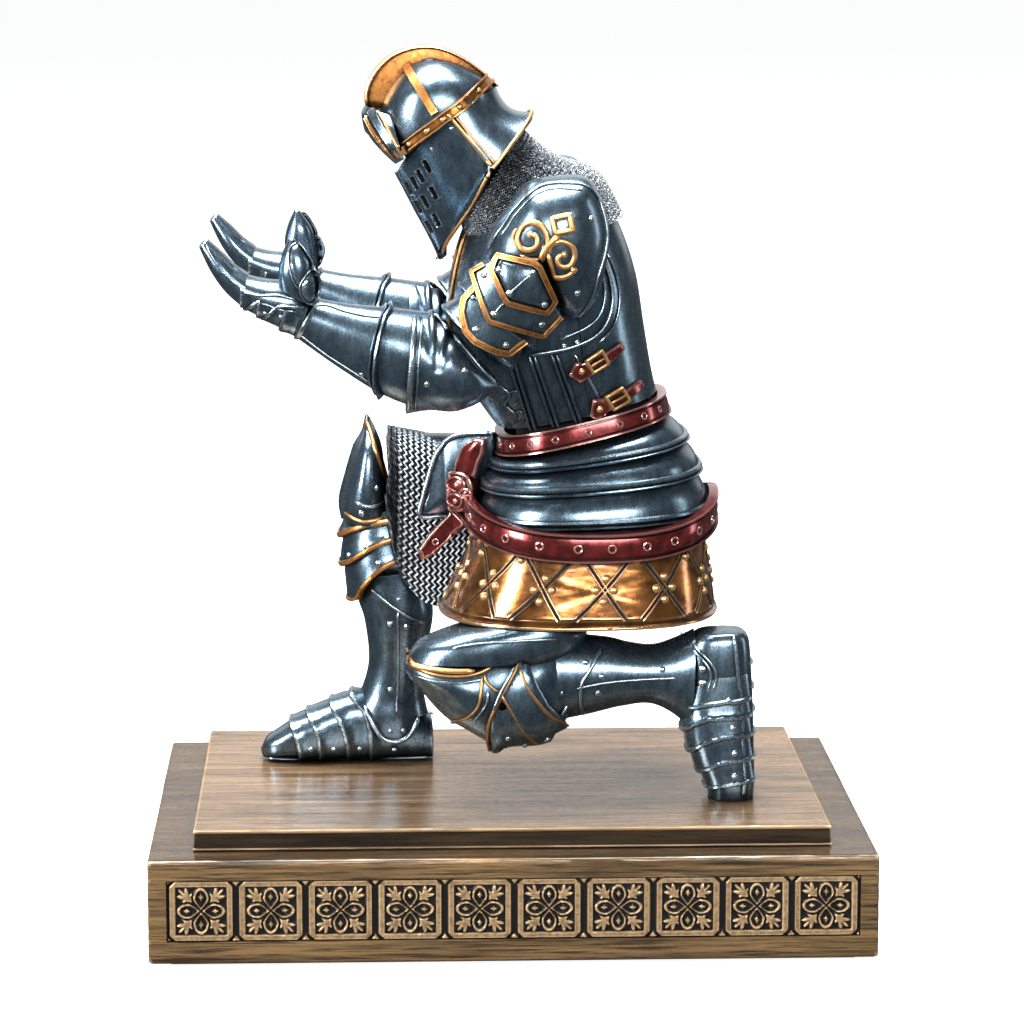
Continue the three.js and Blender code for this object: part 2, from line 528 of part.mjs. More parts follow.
// Mail collar between helmet and shoulders.
const collar = [
  [-7.4, 117.6, 2.6, 133.0, 0, 10.2],
  [-6.6, 115.4, 8.6, 130.0, 0, 12.6],
  [-6.0, 113.8, 16, 126.4, 0, 15.6],
  [-5.0, 112.4, 19.6, 119.6, 0, 18.0],
];
add('mail_collar', less(loft(collar, { sides: 20, power: 2.3 }), helm(GAP), trunkSkin(GAP, GAP),
  shoulder(GAP), mirrored(shoulder(GAP)), loft(lames[0], { grow: GAP, extend: GAP })), 'mail');

export default knight;
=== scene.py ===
"""Kneeling knight statuette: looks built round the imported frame. Shapes are in millimetres
until a piece is finished, then metres. +Z up, the knight faces -X, its left side towards -Y."""
import math

import bpy
import numpy as np
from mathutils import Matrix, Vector
from mathutils.bvhtree import BVHTree
from mathutils.geometry import delaunay_2d_cdt


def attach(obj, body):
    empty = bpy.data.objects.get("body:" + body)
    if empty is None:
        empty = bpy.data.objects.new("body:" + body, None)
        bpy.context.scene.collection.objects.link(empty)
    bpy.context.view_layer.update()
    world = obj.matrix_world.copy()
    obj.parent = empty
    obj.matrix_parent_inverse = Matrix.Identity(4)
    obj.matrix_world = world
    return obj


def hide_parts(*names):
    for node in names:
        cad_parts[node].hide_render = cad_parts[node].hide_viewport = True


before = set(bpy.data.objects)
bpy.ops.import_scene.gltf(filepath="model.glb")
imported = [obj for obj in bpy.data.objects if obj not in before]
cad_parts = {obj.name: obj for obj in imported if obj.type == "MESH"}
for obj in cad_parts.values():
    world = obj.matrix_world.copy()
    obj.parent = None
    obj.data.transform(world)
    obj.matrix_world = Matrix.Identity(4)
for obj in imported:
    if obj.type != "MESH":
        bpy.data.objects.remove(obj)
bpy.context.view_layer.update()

MM = 0.001
RAISE = 1.2                      # heights below are given this much lower than they stand
TAU = 2 * math.pi
ROOT_TWO = 1.4142
LEFT, RIGHT = -1, 1              # side of the middle plane, as the sign of Y

# ------------------------------------------------------------------ camera
CAMERA_PLACE = (-0.0235, -0.6807, 0.1836)
CAMERA_AIM = (0.03573, 0.98549, -0.16593)
LENS, SENSOR, NEAREST = 139.6, 36, 0.05
camera = bpy.data.objects.new("camera", bpy.data.cameras.new("camera"))
bpy.context.scene.collection.objects.link(camera)
camera.data.lens = LENS
camera.data.sensor_width = SENSOR
camera.data.clip_start = NEAREST
camera.location = CAMERA_PLACE
camera.rotation_euler = Vector(CAMERA_AIM).to_track_quat("-Z", "Y").to_euler()
bpy.context.scene.camera = camera

# ------------------------------------------------------------------ materials
SHADER = "Principled BSDF"
GROUND_BLACK = (0.006, 0.005, 0.005)     # between the raised parts of the frieze
PORE_BROWN = (0.014, 0.009, 0.006)
RUBBED_GRAIN = (0.50, 0.37, 0.22)
# the black of antiquing and painted shade in the plinth's recesses
GRAIN_WASH_AND_SHADE = (0.01, 0.006, 0.004)


def tree(name):
    """A new material with an output and one shader."""
    material = bpy.data.materials.new(name)
    material.use_nodes = True
    nodes, links = material.node_tree.nodes, material.node_tree.links
    nodes.clear()
    out = nodes.new("ShaderNodeOutputMaterial")
    shader = nodes.new("ShaderNodeBsdfPrincipled")
    links.new(shader.outputs[0], out.inputs[0])
    return material, nodes, links, shader


def node(nodes, kind, **values):
    made = nodes.new("ShaderNode" + kind)
    for name, value in values.items():
        if name in made.inputs:
            made.inputs[name].default_value = value
        else:
            setattr(made, name, value)
    return made


def noise(nodes, links, scale, detail=4, rough=0.6, stretch=None):
    """Noise over the object's own metres; stretch scales each axis first."""
    texture = node(nodes, "TexNoise", Scale=scale, Detail=detail, Roughness=rough)
    place = node(nodes, "TexCoord")
    source = place.outputs["Object"]
    if stretch:
        mapping = node(nodes, "Mapping")
        mapping.inputs["Scale"].default_value = stretch
        links.new(source, mapping.inputs[0])
        source = mapping.outputs[0]
    links.new(source, texture.inputs[0])
    return texture.outputs[0]


def spread(nodes, links, value, low, high, to_low=0.0, to_high=1.0):
    """Maps low..high to to_low..to_high."""
    ramp = node(nodes, "MapRange")
    links.new(value, ramp.inputs[0])
    for slot, number in zip((1, 2, 3, 4), (low, high, to_low, to_high)):
        ramp.inputs[slot].default_value = number
    return ramp.outputs[0]


def blend_colours(nodes, links, factor, a, b):
    """Colour a where the factor is 0 and b where it is 1."""
    mix = nodes.new("ShaderNodeMix")
    mix.data_type = "RGBA"
    links.new(factor, mix.inputs[0])
    for slot, value in ((6, a), (7, b)):
        if isinstance(value, tuple):
            mix.inputs[slot].default_value = (*value, 1)
        else:
            links.new(value, mix.inputs[slot])
    return mix.outputs[2]


def maths(nodes, links, operation, a, b):
    made = node(nodes, "Math", operation=operation)
    links.new(a, made.inputs[0])
    if isinstance(b, float):
        made.inputs[1].default_value = b
    else:
        links.new(b, made.inputs[1])
    return made.outputs[0]


def hollows(nodes, reach):
    """Ambient occlusion over reach metres: 1 in the open, towards 0 in a recess."""
    occlusion = node(nodes, "AmbientOcclusion", samples=6)
    occlusion.inputs["Distance"].default_value = reach
    return occlusion.outputs["AO"]


def roughen(nodes, links, shader, height, strength, distance):
    bump = node(nodes, "Bump", Strength=strength, Distance=distance)
    links.new(height, bump.inputs["Height"])
    links.new(bump.outputs[0], shader.inputs["Normal"])


def paint(name, body, deep, wash_and_shade, edge, rough=(0.24, 0.42), metallic=0.9, patch=900,
          streak=None, bump=0.06, wash_and_shade_reach=0.0016, wash_and_shade_power=1.0, edge_power=0.55,
          coat=0.0, raised=False):
    """Metallic paint over a casting: mottled body colour, black antiquing and painted shade in the
    recesses, rubbed bright edges. The recesses come from the mesh's relief and from occlusion."""
    material, nodes, links, shader = tree(name)
    mottle = spread(nodes, links, noise(nodes, links, patch, 5, 0.62, streak), 0.36, 0.64)
    fine = noise(nodes, links, patch * 4.3, 3, 0.7, streak)
    colour = blend_colours(nodes, links, mottle, deep, body)
    relief = node(nodes, "Attribute", attribute_name="relief").outputs["Fac"]
    crest = spread(nodes, links, relief, 0.28, 0.72, 0, edge_power)
    crest = maths(nodes, links, "MULTIPLY", crest, spread(nodes, links, fine, 0.25, 0.6, 0.6, 1))
    colour = blend_colours(nodes, links, crest, colour, edge)
    # Painted shade: occlusion and the relief's hollows blend the colour towards the black of
    # antiquing and shade.
    shade = spread(nodes, links, hollows(nodes, wash_and_shade_reach), 0.42, 0.90, wash_and_shade_power, 0)
    groove = spread(nodes, links, relief, -0.22, -0.62, 0, 1)
    recess = maths(nodes, links, "MAXIMUM", shade, groove)
    colour = blend_colours(nodes, links, recess, colour, wash_and_shade)
    if raised:
        ground = node(nodes, "Attribute", attribute_name="raised").outputs["Fac"]
        colour = blend_colours(nodes, links, spread(nodes, links, ground, 0.35, 0.7),
                               GROUND_BLACK, colour)
    links.new(colour, shader.inputs["Base Color"])
    worn = spread(nodes, links, fine, 0.3, 0.7, *rough)
    dull = maths(nodes, links, "MAXIMUM", worn, maths(nodes, links, "MULTIPLY", recess, 0.62))
    links.new(dull, shader.inputs["Roughness"])
    shader.inputs["Metallic"].default_value = metallic
    shader.inputs["Coat Weight"].default_value = coat
    shader.inputs["Coat Roughness"].default_value = 0.12
    roughen(nodes, links, shader, fine, bump, 0.0004)
    return material


STEEL = paint("blued_steel", (0.140, 0.202, 0.252), (0.078, 0.117, 0.152), (0.002, 0.003, 0.004),
              (0.62, 0.72, 0.78), rough=(0.21, 0.30), metallic=0.95, streak=(1, 1, 0.45),
              patch=700, bump=0.02, wash_and_shade_reach=0.0028, edge_power=0.7)
# Near-black, barely glossy: painted shade behind the faulds, inside the helmet and in the breath
# slots; black antiquing and painted shade in the skirt's grooves; black knobs in the eyelets.
SHADE_AND_PAINT_BLACK = paint("painted_shade_and_black_paint", (0.012, 0.014, 0.016), (0.006, 0.007, 0.009), (0.002, 0.002, 0.003),
             (0.03, 0.035, 0.04), rough=(0.5, 0.7), metallic=0.0)
SHADE_AND_PAINT_BLACK.node_tree.nodes[SHADER].inputs["Specular IOR Level"].default_value = 0.05
GOLD = paint("gilt_trim", (0.46, 0.195, 0.050), (0.24, 0.085, 0.022), (0.018, 0.007, 0.003),
             (0.90, 0.58, 0.28), rough=(0.28, 0.42), patch=1300, edge_power=0.75)
WORN = paint("worn_gilt", (0.27, 0.115, 0.036), (0.11, 0.042, 0.014), (0.010, 0.005, 0.003),
             (0.72, 0.45, 0.20), rough=(0.30, 0.44), patch=1300, edge_power=0.7)
PLATE = paint("gilt_plate", (0.43, 0.175, 0.048), (0.085, 0.030, 0.009), (0.008, 0.003, 0.002),
              (1.0, 0.74, 0.42), rough=(0.15, 0.24), patch=230, bump=0.03, edge_power=0.8,
              wash_and_shade_reach=0.0022, coat=0.5)
LEATHER = paint("red_leather", (0.21, 0.027, 0.026), (0.07, 0.010, 0.010), (0.004, 0.001, 0.001),
                (0.85, 0.45, 0.38), rough=(0.14, 0.24), metallic=0.8, patch=600, edge_power=0.8,
                bump=0.02, coat=0.4, wash_and_shade_reach=0.0024)
MAIL = paint("mail", (0.12, 0.14, 0.16), (0.045, 0.055, 0.07), (0.001, 0.001, 0.002),
             (0.52, 0.58, 0.62), rough=(0.28, 0.40), metallic=0.6, bump=0.02, edge_power=0.75,
             wash_and_shade_reach=0.0009)
BRONZE = paint("frieze_bronze", (0.27, 0.175, 0.085), (0.13, 0.078, 0.038), (0.010, 0.007, 0.005),
               (0.48, 0.36, 0.22), rough=(0.34, 0.50), metallic=0.55, patch=1500,
               wash_and_shade_reach=0.0003, wash_and_shade_power=0.6, raised=True)


def grain(name, gloss, dark, light, warm, pore=0.85, wash_and_shade_reach=0.0022):
    """Wood grain cast in the plinth, painted bronze with dark streaks along X."""
    material, nodes, links, shader = tree(name)
    broad = noise(nodes, links, 60, 4, 0.6, (0.35, 1.6, 2.2))
    fibre = noise(nodes, links, 260, 6, 0.75, (0.12, 2.0, 3.4))
    pores = noise(nodes, links, 1000, 4, 0.7, (0.07, 1.6, 2.6))
    colour = blend_colours(nodes, links, spread(nodes, links, fibre, 0.41, 0.59), dark, light)
    colour = blend_colours(nodes, links, spread(nodes, links, broad, 0.35, 0.72, 0, 0.6),
                           colour, warm)
    colour = blend_colours(nodes, links, spread(nodes, links, pores, 0.50, 0.60, 0, pore),
                           colour, PORE_BROWN)
    relief = node(nodes, "Attribute", attribute_name="relief").outputs["Fac"]
    colour = blend_colours(nodes, links, spread(nodes, links, relief, 0.2, 0.7, 0, 0.6),
                           colour, RUBBED_GRAIN)
    # Painted shade: occlusion darkens the grain in recesses and where a wall rises beside it.
    shade = spread(nodes, links, hollows(nodes, wash_and_shade_reach), 0.25, 0.75, 0.9, 0)
    colour = blend_colours(nodes, links, shade, colour, GRAIN_WASH_AND_SHADE)
    links.new(colour, shader.inputs["Base Color"])
    links.new(spread(nodes, links, fibre, 0.3, 0.7, gloss + 0.10, gloss - 0.04),
              shader.inputs["Roughness"])
    shader.inputs["Metallic"].default_value = 0.35
    roughen(nodes, links, shader, pores, 0.25, 0.0003)
    return material


# A lighter copy of the grain for the slab's top: the grain's own colour with painted light on the
# top face.
LIT_TOP_GRAIN = grain("plinth_top_grain_painted_light", 0.10, (0.050, 0.029, 0.014), (0.165, 0.104, 0.056),
                  (0.22, 0.142, 0.080), pore=0.5)
# A darker copy of the grain for the lower step's top face: painted shade on the ledge, with a long
# occlusion reach that deepens it by the upper step.
SHADED_LEDGE_GRAIN = grain("plinth_ledge_grain_painted_shade", 0.10, (0.014, 0.008, 0.004), (0.058, 0.035, 0.016),
                    (0.090, 0.055, 0.024), pore=0.6, wash_and_shade_reach=0.007)
SIDE_GRAIN = grain("plinth_side_grain", 0.24, (0.010, 0.006, 0.003), (0.118, 0.070, 0.028),
                   (0.225, 0.136, 0.056))
# The slab's sides; their long occlusion reach paints shade along the slab's foot.
DARK_GRAIN = grain("plinth_dark_grain", 0.34, (0.006, 0.005, 0.004), (0.024, 0.017, 0.010),
                   (0.066, 0.042, 0.020), pore=0.9, wash_and_shade_reach=0.005)
DARK_GRAIN.node_tree.nodes[SHADER].inputs["Specular IOR Level"].default_value = 0.1
EDGE_GRAIN = grain("plinth_edge_grain", 0.36, (0.09, 0.055, 0.026), (0.21, 0.135, 0.066),
                   (0.30, 0.20, 0.10), pore=0.5)


def plain(name, colour, rough):
    """A dull two-tone fibre noise, for the felt and the floor."""
    material, nodes, links, shader = tree(name)
    fuzz = noise(nodes, links, 3500, 3, 0.8)
    links.new(blend_colours(nodes, links, spread(nodes, links, fuzz, 0.3, 0.7),
                            tuple(c * 0.55 for c in colour), colour),
              shader.inputs["Base Color"])
    shader.inputs["Roughness"].default_value = rough
    roughen(nodes, links, shader, fuzz, 0.5, 0.0003)
    return material


FELT = plain("black_felt", (0.03, 0.03, 0.03), 0.95)
FLOOR = plain("studio_floor", (0.42, 0.42, 0.42), 0.8)
glow = FLOOR.node_tree.nodes[SHADER]
glow.inputs["Emission Color"].default_value = (1, 1, 1, 1)
glow.inputs["Emission Strength"].default_value = 0.93

# ------------------------------------------------------------------ mesh building


def spline(points, samples):
    """Catmull-Rom rows through points, at samples from 0 to len(points) - 1."""
    points = np.asarray(points, float)
    count = len(points)
    i = np.clip(np.floor(samples).astype(int), 0, count - 2)
    f = np.clip(np.asarray(samples) - i, 0, 1)[..., None]
    p0, p1 = points[np.maximum(i - 1, 0)], points[i]
    p2, p3 = points[i + 1], points[np.minimum(i + 2, count - 1)]
    return 0.5 * (2 * p1 + (p2 - p0) * f + (2 * p0 - 5 * p1 + 4 * p2 - p3) * f ** 2
                  + (3 * p1 - p0 - 3 * p2 + p3) * f ** 3)


def curve(points, step=0.3, sharp=False, closed=False):
    """Points along a line, even spacing; sharp keeps its corners."""
    points = np.asarray(points, float)
    if closed:
        points = np.vstack([points, points[:1]])
    if not sharp:
        if closed:
            wide = np.vstack([points[-2:-1], points, points[1:2]])
            points = spline(wide, np.linspace(1, len(wide) - 2, 12 * len(points)))
        else:
            points = spline(points, np.linspace(0, len(points) - 1, 12 * len(points)))
    length = np.r_[0, np.cumsum(np.linalg.norm(np.diff(points, axis=0), axis=1))]
    if sharp:
        parts = [np.linspace(a, b, max(2, int(round((b - a) / step)) + 1))[:-1]
                 for a, b in zip(length[:-1], length[1:])]
        marks = np.r_[np.concatenate(parts), length[-1]]
    else:
        marks = np.linspace(0, length[-1], max(2, int(round(length[-1] / step)) + 1))
    found = np.stack([np.interp(marks, length, points[:, k]) for k in range(points.shape[1])], 1)
    return found[:-1] if closed else found


def unit(v):
    return v / np.maximum(np.linalg.norm(v, axis=-1, keepdims=True), 1e-12)


class Limb:
    """A smooth trunk or limb. Each station is
    [front x, front z, back x, back z, middle y, half width]."""

    def __init__(self, stations, power=2.2):
        self.stations = np.asarray(stations, float)
        self.power = power
        self.last = len(stations) - 1

    def at(self, t, a):
        """Surface points at station number t and angle a, 0 at the front, pi at the back."""
        t, a = np.broadcast_arrays(np.asarray(t, float), np.asarray(a, float))
        row = spline(self.stations, np.clip(t, 0, self.last))
        c, s = np.cos(a), np.sin(a)
        reach = (np.abs(c) ** self.power + np.abs(s) ** self.power) ** (-1 / self.power)
        c, s = c * reach, s * reach
        return np.stack([(row[..., 0] + row[..., 2]) / 2 + (row[..., 0] - row[..., 2]) / 2 * c,
                         row[..., 4] + row[..., 5] * s,
                         (row[..., 1] + row[..., 3]) / 2 + (row[..., 1] - row[..., 3]) / 2 * c],
                        -1)

    def middle(self, t):
        row = spline(self.stations, np.clip(t, 0, self.last))
        return np.stack([(row[..., 0] + row[..., 2]) / 2, row[..., 4],
                         (row[..., 1] + row[..., 3]) / 2], -1)

    def normal(self, t, a):
        t, a = np.broadcast_arrays(np.asarray(t, float), np.asarray(a, float))
        e = 2e-3                                 # half a step for the slopes
        along = self.at(t + e, a) - self.at(t - e, a)
        round_ = self.at(t, a + e) - self.at(t, a - e)
        n = unit(np.cross(along, round_))
        out = self.at(t, a) - self.middle(t)
        flip = np.sign((n * out).sum(-1, keepdims=True))
        return n * np.where(flip == 0, 1, flip)

    def lift(self, t, a, h):
        h = np.asarray(h, float)
        return self.at(t, a) + self.normal(t, a) * h[..., None]


class Pillow:
    """A cushion: an outline in X and Z that shrinks about a centre towards both sides."""
    SIDES = 240                                  # points kept of the outline

    def __init__(self, outline, centre, y, half, power):
        closed = np.asarray(outline, float)
        wide = np.vstack([closed[-1:], closed, closed[:2]])
        ring = spline(wide, np.linspace(1, len(wide) - 2, self.SIDES, endpoint=False))
        self.ring, self.centre = ring, np.asarray(centre, float)
        self.y, self.half, self.power = y, half, power

    def grid(self, layers, count):
        pole = math.pi / 2 * 0.985               # short of the pole, where a ring is a point
        phi = np.linspace(-pole, pole, layers)
        up = np.sign(np.sin(phi)) * np.abs(np.sin(phi)) ** (2 / self.power)
        pick = self.ring[np.linspace(0, self.SIDES, count, endpoint=False).astype(int)]
        out = []
        for k in range(layers):
            scale = (max(0.0, 1 - abs(up[k]) ** self.power)) ** (1 / self.power)
            d = (pick - self.centre) * scale
            out.append(np.stack([self.centre[0] + d[:, 0],
                                 np.full(count, self.y + up[k] * self.half),
                                 self.centre[1] + d[:, 1]], 1))
        return np.array(out)


def quads(rows, columns, wrap_rows, wrap_columns, start=0):
    """Faces of a grid of points, numbered from start."""
    i = np.arange(rows if wrap_rows else rows - 1)
    j = np.arange(columns if wrap_columns else columns - 1)
    i, j = np.meshgrid(i, j, indexing="ij")
    k, l = (i + 1) % rows, (j + 1) % columns
    return np.stack([i * columns + j, k * columns + j, k * columns + l, i * columns + l],
                    -1).reshape(-1, 4) + start


class Piece:
    """One object, gathered in millimetres from patches of several materials."""

    def __init__(self, name):
        self.name = name
        self.verts, self.faces, self.marks, self.materials = [], [], [], []
        self.count = 0

    def mark(self, material):
        if material not in self.materials:
            self.materials.append(material)
        return self.materials.index(material)

    def closed(self, verts, faces, material):
        """Adds one closed patch, turned outwards; material may be a list, one per face."""
        verts = np.asarray(verts, float).reshape(-1, 3)
        volume = 0.0
        for f in faces:
            a, b = verts[f[:, 0]], verts[f[:, 1]]
            for k in range(2, f.shape[1]):
                volume += np.einsum("ij,ij->i", a, np.cross(b, verts[f[:, k]])).sum()
                b = verts[f[:, k]]
        if volume < 0:
            faces = [f[:, ::-1] for f in faces]
        self.verts.append(verts)
        single = not isinstance(material, list)
        for n, f in enumerate(faces):
            self.faces.append(f + self.count)
            if single:
                self.marks.append(np.full(len(f), self.mark(material)))
            else:
                self.marks.append(np.asarray(material[n], int))
        self.count += len(verts)

    def grid(self, points, material, wrap_rows=False, wrap_columns=True, inlay=None):
        """A closed body from a grid. Unwrapped edges are closed by flat or fanned ends.
        inlay is a second material and a mask of the faces that take it."""
        rows, columns = points.shape[:2]
        faces = [quads(rows, columns, wrap_rows, wrap_columns)]
        per = None
        if isinstance(material, (list, tuple)):
            marks = np.array([self.mark(m) for m in material])
            width = columns if wrap_columns else columns - 1
            per = [np.repeat(marks[:rows if wrap_rows else rows - 1], width)]
        if inlay is not None:
            body, second = self.mark(material), self.mark(inlay[0])
            per = [np.where(inlay[1].ravel(), second, body)]
            marks = [body]
        index = np.arange(rows * columns).reshape(rows, columns)
        extra = []
        if wrap_columns and not wrap_rows:
            extra = [index[0][None, :], index[-1, ::-1][None, :]]
        elif wrap_rows and not wrap_columns:
            extra = [index[::-1, 0][None, :], index[:, -1][None, :]]
        faces += extra
        if per is not None:
            per += [np.array([marks[end]]) for end in (0, -1)][:len(extra)]
        self.closed(points.reshape(-1, 3), faces, per if per is not None else material)

    def sheet(self, points, material, depth, inlay=None):
        """A thick sheet from a grid: its faces, and edges turned in by depth. inlay is a
        second material and a mask of the grid's points that take it."""
        inward = unit(np.cross(np.gradient(points, axis=0), np.gradient(points, axis=1)))
        middle = points.reshape(-1, 3).mean(0)
        if ((points - middle) * inward).sum() > 0:
            inward = -inward
        rows, columns = points.shape[:2]
        both = np.concatenate([points, (points + inward * depth)[::-1]], 0)
        if inlay is not None:
            mask = np.zeros((2 * rows, columns - 1), bool)
            mask[:rows - 1] = inlay[1][:rows - 1, :columns - 1]
            inlay = (inlay[0], mask)
        self.grid(both, material, wrap_rows=True, wrap_columns=False, inlay=inlay)

    def done(self, *nodes, slot="blued_steel", smooth=38):
        """Makes the object and tells the frame about it. The slot is not used."""
        mesh = bpy.data.meshes.new(self.name)
        verts = (np.concatenate(self.verts) + (0, 0, RAISE)) * MM
        mesh.vertices.add(len(verts))
        mesh.vertices.foreach_set("co", verts.astype(np.float32).ravel())
        loops = np.concatenate([f.ravel() for f in self.faces])
        sizes = np.concatenate([np.full(len(f), f.shape[1]) for f in self.faces])
        mesh.loops.add(len(loops))
        mesh.loops.foreach_set("vertex_index", loops.astype(np.int32))
        mesh.polygons.add(len(sizes))
        starts = np.r_[0, np.cumsum(sizes)[:-1]]
        mesh.polygons.foreach_set("loop_start", starts.astype(np.int32))
        mesh.polygons.foreach_set("material_index", np.concatenate(self.marks).astype(np.int32))
        for material in self.materials:
            mesh.materials.append(material)
        mesh.update(calc_edges=True)
        mesh.validate()
        measure_relief(mesh)
        mesh.shade_smooth()
        mesh.set_sharp_from_angle(angle=math.radians(smooth))
        made = bpy.data.objects.new(self.name, mesh)
        bpy.context.scene.collection.objects.link(made)
        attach(made, "root")
        if nodes:
            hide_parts(*nodes)
        return made

    def mirrored(self, name):
        """The same piece on the other side of the middle plane."""
        other = Piece(name)
        other.materials = list(self.materials)
        other.verts = [v * (1, -1, 1) for v in self.verts]
        other.faces = [f[:, ::-1] for f in self.faces]
        other.marks, other.count = list(self.marks), self.count
        return other


def measure_relief(mesh):
    """Stores how far each point stands out (towards 1) or lies in a hollow (towards -1)."""
    count = len(mesh.vertices)
    co = np.empty(count * 3, np.float32)
    mesh.vertices.foreach_get("co", co)
    co = co.reshape(-1, 3).astype(float) * 1000
    normal = np.empty(count * 3, np.float32)
    mesh.vertices.foreach_get("normal", normal)
    normal = normal.reshape(-1, 3)
    pairs = np.empty(len(mesh.edges) * 2, np.int32)
    mesh.edges.foreach_get("vertices", pairs)
    i, j = pairs.reshape(-1, 2).T
    total = np.zeros((count, 3))
    near = np.zeros(count)
    for a, b in ((i, j), (j, i)):
        np.add.at(total, a, co[b])
        np.add.at(near, a, 1)
    near = np.maximum(near, 1)
    gap = total / near[:, None] - co
    span = np.zeros(count)
    length = np.linalg.norm(co[i] - co[j], axis=1)
    np.add.at(span, i, length)
    np.add.at(span, j, length)
    span = np.maximum(span / near, 0.12)
    bend = -(gap * normal).sum(1) / span ** 2 * 2
    for _ in range(2):
        mean = np.zeros(count)
        np.add.at(mean, i, bend[j])
        np.add.at(mean, j, bend[i])
        bend = 0.5 * bend + 0.5 * mean / near
    # The relief lightens rubbed edges in paint() and darkens hollows with antiquing and painted
    # shade.
    layer = mesh.attributes.new("relief", "FLOAT", "POINT")
    layer.data.foreach_set("value", np.tanh(bend * 0.55).astype(np.float32))


class Skin:
    """A surface that plates, strips and rivets are laid on, met along Y from one side."""
    FAR = 90                                     # beyond every surface

    def __init__(self, *grids):
        verts, faces, start = [], [], 0
        for points, wrap in grids:
            rows, columns = points.shape[:2]
            verts.append(points.reshape(-1, 3))
            faces += [tuple(f) for f in quads(rows, columns, False, wrap, start)]
            start += rows * columns
        self.tree = BVHTree.FromPolygons([tuple(v) for v in np.concatenate(verts)], faces)

    def cast(self, x, z, side):
        return self.tree.ray_cast(Vector((x, side * self.FAR, z)), Vector((0, -side, 0)))[:2]

    def drop(self, x, z, side, guess=None):
        """Point and normal met from one side; beside the surface, the nearest point's Y."""
        place, n = self.cast(x, z, side)
        if place is None:
            near = guess if guess is not None else side * 20
            found, n, _, _ = self.tree.find_nearest(Vector((x, near, z)))
            place = Vector((x, found.y, z))
        if n.y * side < 0:
            n = -n
        return np.array(place), np.array(n)

    def climb(self, foot, top, side, step=0.5):
        """Even points on a line seen from the side, as far up as the surface reaches."""
        places, normals = [], []
        for share in np.sin(np.linspace(0, math.pi / 2, 160)):
            x, z = foot[0] + (top[0] - foot[0]) * share, foot[1] + (top[1] - foot[1]) * share
            place, n = self.cast(x, z, side)
            if place is None:
                break
            places.append(place)
            normals.append(n if n.y * side > 0 else -n)
        places, normals = np.array(places), np.array(normals)
        run = np.r_[0, np.cumsum(np.linalg.norm(np.diff(places, axis=0), axis=1))]
        marks = np.linspace(0, run[-1], int(run[-1] / step))
        return tuple(np.stack([np.interp(marks, run, values[:, k]) for k in range(3)], 1)
                     for values in (places, normals))

    def follow(self, line, side, guess=None):
        """Points and smoothed normals along a line seen from the side."""
        places, normals = [], []
        for x, z in line:
            p, n = self.drop(x, z, side, guess if guess is not None
                             else (places[-1][1] if places else None))
            places.append(p)
            normals.append(n)
        places, normals = np.array(places), np.array(normals)
        for _ in range(3):
            soft = normals.copy()
            soft[1:-1] = normals[:-2] + normals[1:-1] + normals[2:]
            normals = unit(soft)
        return places, normals


def sweep(piece, places, normals, section, material, closed=False, taper=False):
    """Carries a section of [across, up] points along places."""
    tangent = (np.roll(places, -1, 0) - np.roll(places, 1, 0)) if closed \
        else np.gradient(places, axis=0)
    tangent = unit(tangent)
    across = unit(np.cross(normals, tangent))
    up = unit(np.cross(tangent, across))
    section = np.asarray(section, float)
    size = np.ones(len(places))
    if taper:
        ends = np.minimum(np.arange(len(places)), np.arange(len(places))[::-1])
        size = np.clip(0.35 + ends * 0.3, 0, 1)
    points = places[:, None] + size[:, None, None] * (
        across[:, None] * section[None, :, :1] + up[:, None] * section[None, :, 1:])
    piece.grid(points, material, wrap_rows=closed, wrap_columns=True)


def cord_section(radius, sink=0.25, sides=10, flat=1.0):
    """A round bead, raised by sink radii; flat squashes it."""
    angles = np.linspace(0, TAU, sides, endpoint=False)
    return [[radius * math.cos(a), radius * flat * math.sin(a) + radius * sink] for a in angles]


def strap_section(width, height, lip=0.0):
    """A flat strip; lip raises its two edges."""
    sink = 0.5
    w = width / 2
    e = min(0.32, w * 0.35)
    top = [[-w, height * 0.55], [-w + e * 0.35, height + lip], [-w + e, height + lip],
           [-w + e * 1.5, height], [0, height + 0.02], [w - e * 1.5, height],
           [w - e, height + lip], [w - e * 0.35, height + lip], [w, height * 0.55]]
    return [[-w, -sink]] + top + [[w, -sink]]


def cord(piece, skin, points, radius, material, side=LEFT, closed=False, sharp=False,
         lift=0.0, guess=None, flat=1.0, step=0.3):
    """A bead laid on a skin along a line seen from the side."""
    line = curve(points, step, sharp, closed)
    places, normals = skin.follow(line, side, guess)
    sweep(piece, places + normals * lift, normals, cord_section(radius, flat=flat), material,
          closed, taper=not closed)


def strap(piece, skin, points, width, height, material, side=LEFT, closed=False, sharp=False,
          lift=0.0, lip=0.0, step=0.3):
    """A flat strip laid on a skin along a line seen from the side."""
    line = curve(points, step, sharp, closed)
    places, normals = skin.follow(line, side)
    sweep(piece, places + normals * lift, normals, strap_section(width, height, lip), material,
          closed)


def turned(place, normal, radius, profile, sides, height=1.0):
    """Rings of a turned shape on a surface. profile rows are [radius, height], in radii."""
    normal = unit(np.asarray(normal, float))
    side = unit(np.cross(normal, [0.3, 0.5, 0.81]))
    other = np.cross(normal, side)
    angles = np.linspace(0, TAU, sides, endpoint=False)
    spokes = np.cos(angles)[:, None] * side + np.sin(angles)[:, None] * other
    return np.array([place + radius * (r * spokes + h * height * normal) for r, h in profile])


